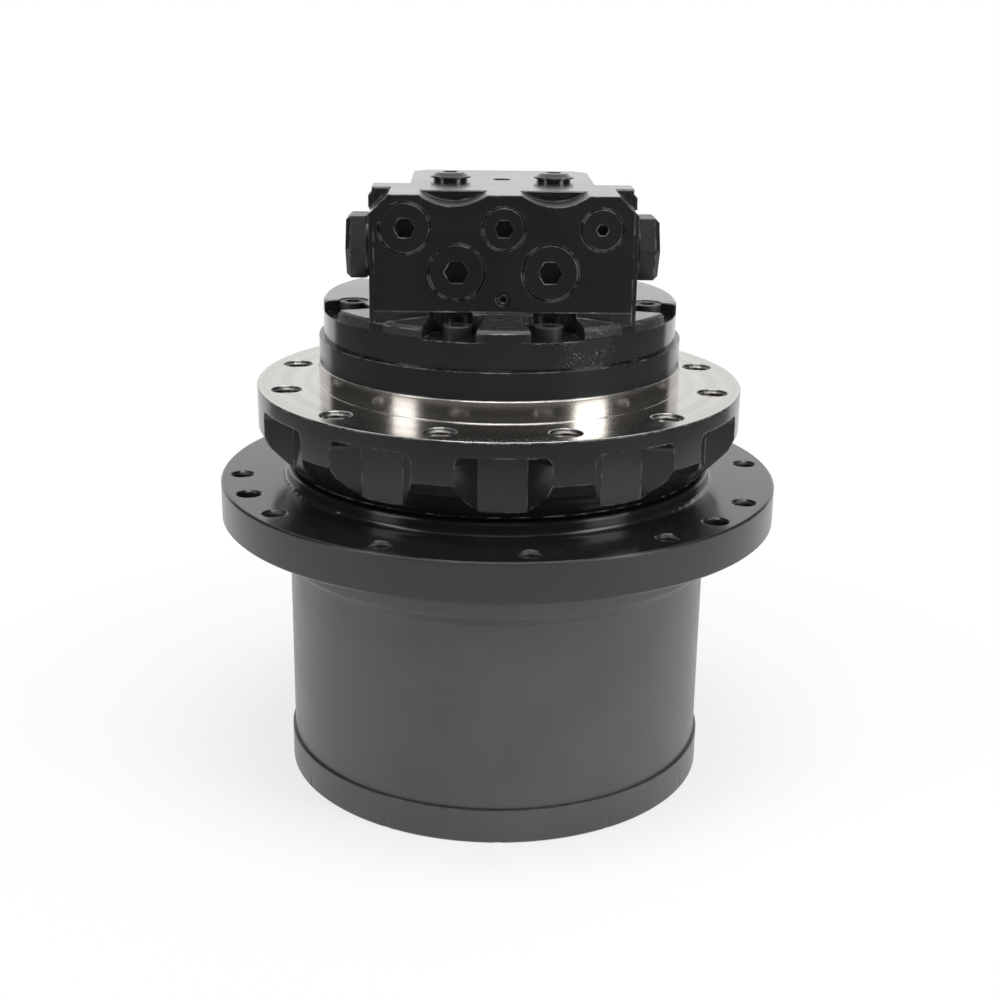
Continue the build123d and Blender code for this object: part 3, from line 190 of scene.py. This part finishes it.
world = bpy.data.worlds.new("studio_bay")
world.use_nodes = True
world.node_tree.nodes.clear()
bay_level = mapped(world.node_tree, seen_or_mirrored(world.node_tree), 0.0, 1.0, bay_light, 1.0)
bay = add_node(world.node_tree, "ShaderNodeBackground", Color=plain_white, Strength=bay_level)
bay_output = world.node_tree.nodes.new("ShaderNodeOutputWorld")
world.node_tree.links.new(bay.outputs[0], bay_output.inputs[0])
scene.world = world

# Soft boxes
# Two tall boxes of cloth over a lamp stand at the sides and reach nearly down to the table, so that the
# steel seat mirrors them as strips. A wide one hangs overhead. All are aimed at the middle of the drive.
box_aim = Vector((0, 0, 0.18))
side_box_distance = 0.80
side_box_height = 0.50
side_box_tall = 0.98
left_box_turn = radians(-58)
left_box_width = 0.22
left_box_watts = 2.3
right_box_turn = radians(54)
right_box_width = 0.30
right_box_watts = 4.4
top_box_turn = radians(8)
top_box_distance = 0.22
top_box_height = 1.20
top_box_width = 0.70
top_box_tall = 0.30
top_box_watts = 5.0


def soft_box(name, azimuth, distance, height, width, tall, watts):
    """Area lamp at an azimuth from the front, a distance from the axis and a height, aimed at the drive."""
    lamp = bpy.data.lights.new(name, "AREA")
    lamp.shape = "RECTANGLE"
    lamp.size = width
    lamp.size_y = tall
    lamp.energy = watts
    made = bpy.data.objects.new(name, lamp)
    scene.collection.objects.link(made)
    made.location = (distance * sin(azimuth), -distance * cos(azimuth), height)
    made.rotation_euler = (box_aim - made.location).to_track_quat("-Z", "Y").to_euler()
    made.visible_camera = False


soft_box("left_soft_box", left_box_turn, side_box_distance, side_box_height, left_box_width, side_box_tall,
         left_box_watts)
soft_box("right_soft_box", right_box_turn, side_box_distance, side_box_height, right_box_width,
         side_box_tall, right_box_watts)
soft_box("overhead_soft_box", top_box_turn, top_box_distance, top_box_height, top_box_width, top_box_tall,
         top_box_watts)

# Hub housing and end cover
# Iron castings, turned outside; the cover is screwed to the housing's foot. The paint is a satin dark
# grey, and darker and glossier on the flange and the collar above it. It lies over sand grain, is uneven
# in colour and gloss and rounds the corners off. The corners are lighter too: worn paint, and on the
# black paint mostly a painted highlight.
grain_scale = 620.0
grain_detail = 3.0
grain_falloff = 0.6
lump_scale = 130.0
lump_share = 1.4
mottle_scale = 16.0
mottle_low = 0.38
mottle_high = 0.62
corner_radius = 0.0013
corner_samples = 4
edge_flat = 0.985
edge_sharp = 0.90
wear_sheen_low = 0.48
wear_sheen_high = 0.60
faded_share = 1.25
glossy_share = 0.9
dull_share = 1.15
bump_depth = 0.001
coat_roughness = 0.12
hub_paint = (0.050, 0.053, 0.049, 1)
hub_thin_paint = (0.12, 0.12, 0.115, 1)
hub_gloss = 0.36
hub_coat = 0.15
hub_grain = 0.012
flange_foot = 0.1594
flange_top = 0.1824
flange_foot_blend = 0.0004
top_coat_start = flange_top - 0.0008
top_coat_full = flange_top - 0.0003
flange_paint = (0.016, 0.0175, 0.018, 1)
flange_gloss = 0.3
top_paint = (0.010, 0.0105, 0.0105, 1)
top_gloss = 0.17
undressed = set(nodes)


def new_group(name, inputs, outputs):
    """Node group with named inputs and outputs: its tree, the sockets of both, and the object's place."""
    tree = bpy.data.node_groups.new(name, "ShaderNodeTree")
    for label in inputs:
        tree.interface.new_socket(label, in_out="INPUT", socket_type="NodeSocketFloat")
    for label, kind in outputs:
        tree.interface.new_socket(label, in_out="OUTPUT", socket_type=kind)
    taken = tree.nodes.new("NodeGroupInput").outputs
    given = tree.nodes.new("NodeGroupOutput").inputs
    return tree, taken, given, add_node(tree, "ShaderNodeTexCoord").outputs["Object"]


def noise(tree, place, scale, detail=grain_detail):
    """Cloudy values from 0 to 1 at each place."""
    return add_node(tree, "ShaderNodeTexNoise", Vector=place, Scale=scale, Detail=detail,
                    Roughness=grain_falloff).outputs[0]


cast_skin, taken, given, place = new_group("cast_skin", ["Grain Scale", "Lump Scale", "Mottle Scale"],
                                           [("Grain", "NodeSocketFloat"), ("Mottle", "NodeSocketFloat")])
lumps = math_node(cast_skin, "MULTIPLY", noise(cast_skin, place, taken["Lump Scale"]), lump_share)
grain = math_node(cast_skin, "ADD", noise(cast_skin, place, taken["Grain Scale"]), lumps)
mottle = mapped(cast_skin, noise(cast_skin, place, taken["Mottle Scale"]), mottle_low, mottle_high)
cast_skin.links.new(grain, given["Grain"])
cast_skin.links.new(mottle, given["Mottle"])

soft_corners, taken, given, place = new_group("soft_corners", ["Radius", "Chip Scale"],
                                              [("Normal", "NodeSocketVector"), ("Wear And Sheen", "NodeSocketFloat")])
rounded = add_node(soft_corners, "ShaderNodeBevel", {"samples": corner_samples},
                   Radius=taken["Radius"]).outputs[0]
flat = add_node(soft_corners, "ShaderNodeNewGeometry").outputs["Normal"]
agreement = add_node(soft_corners, "ShaderNodeVectorMath", {"operation": "DOT_PRODUCT"}, i0=rounded, i1=flat)
edge = mapped(soft_corners, agreement.outputs["Value"], edge_flat, edge_sharp)
# Corner mask for worn paint and a painted highlight at once, in flecks along the rounded edges.
chips_and_glints = mapped(soft_corners, noise(soft_corners, place, taken["Chip Scale"]), wear_sheen_low, wear_sheen_high)
soft_corners.links.new(rounded, given["Normal"])
soft_corners.links.new(math_node(soft_corners, "MULTIPLY", edge, chips_and_glints), given["Wear And Sheen"])


def use_group(tree, group, **values):
    """Outputs of a group placed in a material with its own values."""
    return add_node(tree, "ShaderNodeGroup", {"node_tree": group}, **values).outputs


def mix_value(tree, mask, first, second):
    """First where the mask is 0 and second where it is 1."""
    return add_node(tree, "ShaderNodeMix", {"data_type": "FLOAT"}, i0=mask, i2=first, i3=second).outputs[0]


def mix_colour(tree, mask, first, second):
    """First colour where the mask is 0 and second where it is 1."""
    return add_node(tree, "ShaderNodeMix", {"data_type": "RGBA"}, i0=mask, i6=first, i7=second).outputs[2]


def object_axes(tree):
    """Object coordinates as three sockets."""
    place = add_node(tree, "ShaderNodeTexCoord").outputs["Object"]
    return add_node(tree, "ShaderNodeSeparateXYZ", Vector=place).outputs


def painted(name, paint, worn_sheen_paint, gloss, coat, grain_height):
    """Paint over a casting: uneven colour and gloss, grain, and corners lighter from wear and a painted
    highlight.
    """
    made, tree, output = empty_material(name)
    skin = use_group(tree, cast_skin, Grain_Scale=grain_scale, Lump_Scale=lump_scale,
                     Mottle_Scale=mottle_scale)
    edges = use_group(tree, soft_corners, Radius=corner_radius, Chip_Scale=lump_scale)
    faded_paint = [channel * faded_share for channel in paint[:3]] + [1]
    colour = mix_colour(tree, skin["Mottle"], paint, faded_paint)
    # Corners take the lighter worn paint, which also serves as a painted highlight on them.
    colour = mix_colour(tree, edges["Wear And Sheen"], colour, worn_sheen_paint)
    roughness = mix_value(tree, skin["Mottle"], gloss * glossy_share, gloss * dull_share)
    height = math_node(tree, "MULTIPLY", skin["Grain"], grain_height)
    bump = add_node(tree, "ShaderNodeBump", Strength=1.0, Distance=bump_depth, Height=height,
                    Normal=edges["Normal"])
    shader = add_node(tree, "ShaderNodeBsdfPrincipled", Base_Color=colour, Roughness=roughness,
                      Coat_Weight=coat, Coat_Roughness=coat_roughness, Normal=bump.outputs[0])
    tree.links.new(shader.outputs[0], output.inputs[0])
    return made


def shader_of(finish):
    """Input sockets of a finish's shader."""
    return finish.node_tree.nodes["Principled BSDF"].inputs


def lay_over(socket, mask, value):
    """Keeps what the socket has where the mask is 0, and gives it the value where the mask is 1."""
    before = socket.links[0].from_socket if socket.is_linked else socket.default_value
    mix = mix_colour if socket.type == "RGBA" else mix_value
    socket.id_data.links.new(mix(socket.id_data, mask, before, value), socket)


def dress(names, finish):
    """The finish on every material slot of the named solids."""
    for name in names:
        undressed.discard(name)
        for slot in nodes[name].material_slots:
            slot.link = "OBJECT"
            slot.material = finish


hub_finish = painted("hub_paint", hub_paint, hub_thin_paint, hub_gloss, hub_coat, hub_grain)
tree = hub_finish.node_tree
sockets = shader_of(hub_finish)
level = object_axes(tree)[2]
on_flange = mapped(tree, level, flange_foot - flange_foot_blend, flange_foot + flange_foot_blend)
above = mapped(tree, level, top_coat_start, top_coat_full)
lay_over(sockets["Base Color"], on_flange, flange_paint)
lay_over(sockets["Base Color"], above, top_paint)
lay_over(sockets["Roughness"], on_flange, flange_gloss)
lay_over(sockets["Roughness"], above, top_gloss)
dress(["hub_housing"], hub_finish)
cover_finish = painted("cover_paint", hub_paint, hub_thin_paint, hub_gloss, hub_coat, hub_grain)
dress(["end_cover", "oil_plugs"], cover_finish)

# Spindle
# Iron casting that is bolted to the track frame and carries the motor. It has black gloss paint, but for
# the machined seat of the track frame: flange face and spigot are turned and left bare.
black_paint = (0.0085, 0.0098, 0.0107, 1)
# Corner colour of the black paint, light for wear and as a painted highlight of its rounded edges.
black_worn_sheen = (0.20, 0.20, 0.19, 1)
black_gloss = 0.2
black_grain = 0.006
frame_coat = 0.2
frame_shine = 0.4
seat_foot = 0.2386
seat_top = 0.25095
seat_blend = 0.0001
seat_steel = (0.62, 0.60, 0.57, 1)
seat_dark_steel = (0.50, 0.48, 0.45, 1)
seat_polish = 0.16
seat_marks = 0.02
turning_scale = 1200.0
turning_detail = 2.0
turning_band_scale = 140.0
band_low = 0.35
band_high = 0.65

turning_marks, taken, given, place = new_group("turning_marks", ["Mark Scale", "Band Scale"],
                                               [("Marks", "NodeSocketFloat"), ("Bands", "NodeSocketFloat")])
split = add_node(turning_marks, "ShaderNodeSeparateXYZ", Vector=place)
square_x = math_node(turning_marks, "MULTIPLY", split.outputs[0], split.outputs[0])
square_y = math_node(turning_marks, "MULTIPLY", split.outputs[1], split.outputs[1])
reach = math_node(turning_marks, "SQRT", math_node(turning_marks, "ADD", square_x, square_y))
groove = add_node(turning_marks, "ShaderNodeCombineXYZ", X=reach, Y=split.outputs[2]).outputs[0]
marks = noise(turning_marks, groove, taken["Mark Scale"], turning_detail)
bands = mapped(turning_marks, noise(turning_marks, groove, taken["Band Scale"]), band_low, band_high)
turning_marks.links.new(marks, given["Marks"])
turning_marks.links.new(bands, given["Bands"])


def within(tree, value, low, high, soft=0.0004):
    """1 between two levels, with a soft edge."""
    rise = mapped(tree, value, low - soft, low + soft)
    fall = mapped(tree, value, high + soft, high - soft)
    return math_node(tree, "MULTIPLY", rise, fall)


spindle_finish = painted("spindle_paint", black_paint, black_worn_sheen, black_gloss, frame_coat, black_grain)
tree = spindle_finish.node_tree
sockets = shader_of(spindle_finish)
height = sockets["Normal"].links[0].from_node.inputs["Height"]
seat = within(tree, object_axes(tree)[2], seat_foot, seat_top, seat_blend)
turned = use_group(tree, turning_marks, Mark_Scale=turning_scale, Band_Scale=turning_band_scale)
steel = mix_colour(tree, turned["Bands"], seat_steel, seat_dark_steel)
lay_over(sockets["Base Color"], seat, steel)
lay_over(sockets["Roughness"], seat, seat_polish)
lay_over(sockets["Coat Weight"], seat, 0.0)
lay_over(height, seat, math_node(tree, "MULTIPLY", turned["Marks"], seat_marks))
tree.links.new(seat, sockets["Metallic"])
sockets["Specular IOR Level"].default_value = frame_shine
dress(["spindle"], spindle_finish)

# Rear flange and valve block
# One casting, screwed to the spindle, in black gloss paint. Its cast zones stay rough under the paint:
# the shoulders behind the machined corners, the two notches, the ledge at the block's foot and the screw
# pockets. A zone is given by its reach to the side, in depth and in height.
black_coat = 0.5
disc_top = 0.288
block_top = 0.3555
pocket_foot = disc_top - 0.0062
shoulder_side = (0.0602, 0.09)
shoulder_depth = (-0.0464, -0.02)
shoulder_level = (disc_top, block_top - 0.0006)
notch_side = (0.008, 0.046)
notch_depth = (-0.0785, -0.0575)
notch_level = (0.3485, block_top - 0.0003)
ledge_depth = (-0.1018, -0.0798)
ledge_level = (pocket_foot, 0.2938)
ledge_end = 0.0775
ledge_full = 0.0755
pocket_side = (0.0716, 0.1015)
pocket_depth = (-0.09, -0.012)
pocket_level = (pocket_foot, disc_top - 0.0002)
rough_gloss = 0.34
rough_coat = 0.1
rough_grain = 100.0
chip_middle = (0.0445, -0.0925, 0.2755)
chip_reach = 0.022
chip_core = chip_reach * 0.25
chip_scale = 900.0
chip_low = 0.58
chip_high = 0.66
chip_patch_scale = 160.0
patch_low = 0.46
patch_high = 0.56
chip_steel = (0.30, 0.29, 0.27, 1)
chip_metal = 0.8


def all_of(tree, *masks):
    """1 where every mask is 1."""
    made = masks[0]
    for mask in masks[1:]:
        made = math_node(tree, "MULTIPLY", made, mask)
    return made


def any_of(tree, *masks):
    """1 where at least one mask is 1."""
    made = masks[0]
    for mask in masks[1:]:
        made = math_node(tree, "MAXIMUM", made, mask)
    return made


def cast_zones(tree):
    """1 on the zones of the block and the disc that are left as cast, the same on both sides."""
    axes = object_axes(tree)
    side = math_node(tree, "ABSOLUTE", axes[0])
    depth = axes[1]
    level = axes[2]
    shoulder = all_of(tree, within(tree, side, *shoulder_side), within(tree, depth, *shoulder_depth),
                      within(tree, level, *shoulder_level))
    notch = all_of(tree, within(tree, side, *notch_side), within(tree, depth, *notch_depth),
                   within(tree, level, *notch_level))
    ledge = all_of(tree, within(tree, depth, *ledge_depth), within(tree, level, *ledge_level),
                   mapped(tree, side, ledge_end, ledge_full))
    pocket = all_of(tree, within(tree, side, *pocket_side), within(tree, depth, *pocket_depth),
                    within(tree, level, *pocket_level))
    return any_of(tree, shoulder, notch, ledge, pocket)


block_finish = painted("block_paint", black_paint, black_worn_sheen, black_gloss, black_coat, black_grain)
tree = block_finish.node_tree
sockets = shader_of(block_finish)
height = sockets["Normal"].links[0].from_node.inputs["Height"]
rough = cast_zones(tree)
lay_over(sockets["Roughness"], rough, rough_gloss)
lay_over(sockets["Coat Weight"], rough, rough_coat)
coarser = mix_value(tree, rough, 1.0, rough_grain)
tree.links.new(math_node(tree, "MULTIPLY", height.links[0].from_socket, coarser), height)
place = add_node(tree, "ShaderNodeTexCoord").outputs["Object"]
away = add_node(tree, "ShaderNodeVectorMath", {"operation": "DISTANCE"}, i0=place, i1=chip_middle)
near = mapped(tree, away.outputs["Value"], chip_reach, chip_core)
flakes = mapped(tree, noise(tree, place, chip_scale), chip_low, chip_high)
patches = mapped(tree, noise(tree, place, chip_patch_scale), patch_low, patch_high)
chipped = all_of(tree, near, flakes, patches)
lay_over(sockets["Base Color"], chipped, chip_steel)
tree.links.new(math_node(tree, "MULTIPLY", chipped, chip_metal), sockets["Metallic"])
dress(["rear_flange"], block_finish)

# Plugs, spool caps and screws
# Turned steel plugs close the block's drillings and two caps close the spool's bore. All are screwed in
# and painted with the block, the caps less glossy. The socket screws are blackened steel.
fitting_grain = 0.008
plug_gloss = 0.2
plug_coat = 0.5
cap_gloss = 0.3
cap_coat = 0.1
cap_shine = 0.25
oxide_black = (0.02, 0.02, 0.021, 1)
oxide_worn = (0.12, 0.12, 0.12, 1)
oxide_gloss = 0.42
oxide_grain = 0.01

plug_finish = painted("plug_paint", black_paint, black_worn_sheen, plug_gloss, plug_coat, fitting_grain)
dress(["plug_upper_left", "plug_upper_middle", "plug_upper_right", "plug_gauge", "plugs_lower", "plugs_top"],
      plug_finish)
cap_finish = painted("cap_paint", black_paint, black_worn_sheen, cap_gloss, cap_coat, fitting_grain)
shader_of(cap_finish)["Specular IOR Level"].default_value = cap_shine
dress(["spool_caps"], cap_finish)
screw_finish = painted("screw_oxide", oxide_black, oxide_worn, oxide_gloss, 0.0, oxide_grain)
dress(["cover_screws", "rear_flange_screws"], screw_finish)

# Washers, slippers and brake linings
# Bronze where one part slides on another: thrust washers, the sun's thrust pad, the valve plate and the
# pistons' slippers, all turned and laid in place. The brake's friction discs have a pressed brown lining.
fine_marks = 0.006
smooth_share = 0.8
matt_share = 1.3
bronze = (0.52, 0.34, 0.16, 1)
dark_bronze = (0.42, 0.27, 0.12, 1)
bronze_polish = 0.34
lining = (0.16, 0.13, 0.10, 1)
dark_lining = (0.11, 0.09, 0.075, 1)
lining_polish = 0.6
lining_marks = 0.02


def metal(name, steel, dark_steel, polish, mark_height, stain=None):
    """Machined metal with fine turning marks, slow bands of tone and softly broken corners."""
    made, tree, output = empty_material(name)
    turned = use_group(tree, turning_marks, Mark_Scale=turning_scale, Band_Scale=turning_band_scale)
    edges = use_group(tree, soft_corners, Radius=corner_radius, Chip_Scale=lump_scale)
    colour = mix_colour(tree, turned["Bands"], steel, dark_steel)
    if stain is not None:
        skin = use_group(tree, cast_skin, Grain_Scale=grain_scale, Lump_Scale=lump_scale,
                         Mottle_Scale=mottle_scale)
        colour = mix_colour(tree, skin["Mottle"], colour, stain)
    roughness = mix_value(tree, turned["Marks"], polish * smooth_share, polish * matt_share)
    height = math_node(tree, "MULTIPLY", turned["Marks"], mark_height)
    bump = add_node(tree, "ShaderNodeBump", Strength=1.0, Distance=bump_depth, Height=height,
                    Normal=edges["Normal"])
    shader = add_node(tree, "ShaderNodeBsdfPrincipled", Base_Color=colour, Roughness=roughness,
                      Metallic=1.0, Normal=bump.outputs[0])
    tree.links.new(shader.outputs[0], output.inputs[0])
    return made


bronze_finish = metal("bronze", bronze, dark_bronze, bronze_polish, fine_marks)
dress(["sun_thrust_pad", "slippers", "valve_plate", "thrust_washers_1", "thrust_washers_2"], bronze_finish)
lining_finish = metal("lining", lining, dark_lining, lining_polish, lining_marks)
dress(["friction_discs"], lining_finish)

# Seals
# Moulded rubber rings in the cover, at both halves of the face seal and round the motor shaft. They are
# pressed into their grooves and have a faint grain from the mould.
rubber_black = (0.014, 0.014, 0.015, 1)
rubber_worn = (0.02, 0.02, 0.02, 1)
rubber_gloss = 0.62
rubber_grain = 0.02

rubber_finish = painted("rubber", rubber_black, rubber_worn, rubber_gloss, 0.0, rubber_grain)
dress(["cover_seal", "seal_toric_hub", "seal_toric_spindle", "shaft_seal"], rubber_finish)

# Gears, bearings, shafts and motor parts
# Hardened and ground steel, a little browned by gear oil. All that no section above has finished is of
# this steel: the gear train, bearings, the seal's steel rings, motor, brake, and the spool's own parts.
gear_steel = (0.44, 0.44, 0.45, 1)
gear_dark_steel = (0.34, 0.33, 0.32, 1)
gear_polish = 0.3
oil_brown = (0.36, 0.33, 0.28, 1)

gear_finish = metal("gear_steel", gear_steel, gear_dark_steel, gear_polish, fine_marks, oil_brown)
dress(sorted(undressed), gear_finish)

# Threads
# Threads are cut into the holes of both flanges, the lifting hole and the oil ports. Each is shown as a
# ring of saw-tooth grooves turned round the hole's axis, not a helix, that lines the solid's plain hole.
thread_steps = 20
thread_wall = 0.0004
thread_play = 0.00005
thread_steel = (0.30, 0.29, 0.28, 1)
thread_dark_steel = (0.20, 0.19, 0.18, 1)
thread_polish = 0.3
thread_marks = 0.004
downward = (0, 0, -1)
forwards = (0, -1, 0)
frame_hole_circle = 0.1265
frame_hole_angle = 15.0
frame_hole_mouth = 0.2376
sprocket_hole_circle = 0.1525
sprocket_hole_angle = -84.6
sprocket_hole_mouth = 0.1812
flange_hole_count = 12
lifting_mouth = (0, -0.005, 0.3545)
port_face = 0.041
main_port_side = 0.027
main_port_level = 0.322
small_port_levels = (0.300, 0.344)


def thread_ring(radius, pitch, turns, depth):
    """Outline of one thread as (radius, depth below the mouth): root and crest in turn, closed behind.
    r = radius - play for the roots and radius - depth for the crests, each half a pitch further down."""
    outline = [(radius - (depth if step % 2 else thread_play), step * pitch / 2)
               for step in range(2 * turns + 1)]
    return outline + [(radius + thread_wall, 2 * turns * pitch / 2), (radius + thread_wall, 0)]


def turned_rings(name, mouths, inward, outline, body, finish, steps=thread_steps):
    """Closed turned rings, one at each mouth. With a for the turn round the axis and r for the radius,
    point = mouth + depth * inward + r * (cos a * side + sin a * up). The outline runs down the side
    nearest the axis first, so that the faces point out of the metal."""
    inward = Vector(inward)
    side = inward.orthogonal().normalized()
    up = inward.cross(side)
    angles = np.linspace(0, 2 * pi, steps, endpoint=False)
    spoke = np.outer(np.cos(angles), side) + np.outer(np.sin(angles), up)
    one = np.concatenate([np.array(inward) * depth + radius * spoke for radius, depth in outline])
    count = len(outline)
    row, step = np.meshgrid(np.arange(count), np.arange(steps), indexing="ij")
    row = row.ravel()
    step = step.ravel()
    next_row = (row + 1) % count
    next_step = (step + 1) % steps
    faces = np.stack([row * steps + step, next_row * steps + step,
                      next_row * steps + next_step, row * steps + next_step], axis=1)
    points = np.concatenate([one + np.array(mouth) for mouth in mouths])
    all_faces = np.concatenate([faces + number * len(one) for number in range(len(mouths))])
    made = put_in_scene(name, points, all_faces)
    made.data.materials.append(finish)
    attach(made, body)
    return made


def circle_mouths(radius, first_angle, count, height):
    """Mouths at even turns round a circle, the first one at the given angle in degrees."""
    turns = [radians(first_angle + 360 * number / count) for number in range(count)]
    return [(radius * cos(turn), radius * sin(turn), height) for turn in turns]


thread_finish = metal("thread_steel", thread_steel, thread_dark_steel, thread_polish, thread_marks)
frame_mouths = circle_mouths(frame_hole_circle, frame_hole_angle, flange_hole_count, frame_hole_mouth)
frame_thread = thread_ring(radius=0.008, pitch=0.002, turns=6, depth=0.0009)
turned_rings("frame_threads", frame_mouths, downward, frame_thread, "spindle_side", thread_finish)
sprocket_mouths = circle_mouths(sprocket_hole_circle, sprocket_hole_angle, flange_hole_count,
                                sprocket_hole_mouth)
sprocket_thread = thread_ring(radius=0.0061, pitch=0.002, turns=5, depth=0.0007)
# The sprocket holes' threads take the screws' black finish and are darker than the bare threads of the other
# holes.
turned_rings("sprocket_threads", sprocket_mouths, downward, sprocket_thread, "hub", screw_finish)
lifting_outline = thread_ring(radius=0.0051, pitch=0.00175, turns=6, depth=0.0007)
turned_rings("lifting_thread", [lifting_mouth], downward, lifting_outline, "spindle_side", thread_finish)
main_mouths = [(side, port_face, main_port_level) for side in (-main_port_side, main_port_side)]
main_port_thread = thread_ring(radius=0.013, pitch=0.0018, turns=8, depth=0.0009)
turned_rings("main_port_threads", main_mouths, forwards, main_port_thread, "spindle_side", thread_finish)
small_mouths = [(0, port_face, height) for height in small_port_levels]
small_port_thread = thread_ring(radius=0.006, pitch=0.0013, turns=8, depth=0.0006)
turned_rings("small_port_threads", small_mouths, forwards, small_port_thread, "spindle_side", thread_finish)

# Brake spring
# Coned disc spring of spring steel between the brake piston and the rear flange. It flattens as oil lifts
# the piston; a turned ring stands for the solid, which is hidden.
spring_steps = 96
spring_edge = 0.0001

spring_corners = np.array([corner.co[:] for corner in nodes["brake_spring"].data.vertices])
spring_reach = np.hypot(spring_corners[:, 0], spring_corners[:, 1])
spring_foot = spring_corners[:, 2].min()
spring_head = spring_corners[:, 2].max()
at_foot = spring_reach[spring_corners[:, 2] < spring_foot + spring_edge]
at_head = spring_reach[spring_corners[:, 2] > spring_head - spring_edge]
spring_height = float(spring_head - spring_foot)
spring_anchor = (0, 0, float(spring_head))
spring_outline = [(at_head.min(), 0), (at_foot.min(), spring_height), (at_foot.max(), spring_height),
                  (at_head.max(), 0)]
brake_cone = turned_rings("brake_spring_cone", [spring_anchor], downward, spring_outline, "spindle_side",
                          gear_finish, spring_steps)
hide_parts("brake_spring")
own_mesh(brake_cone)
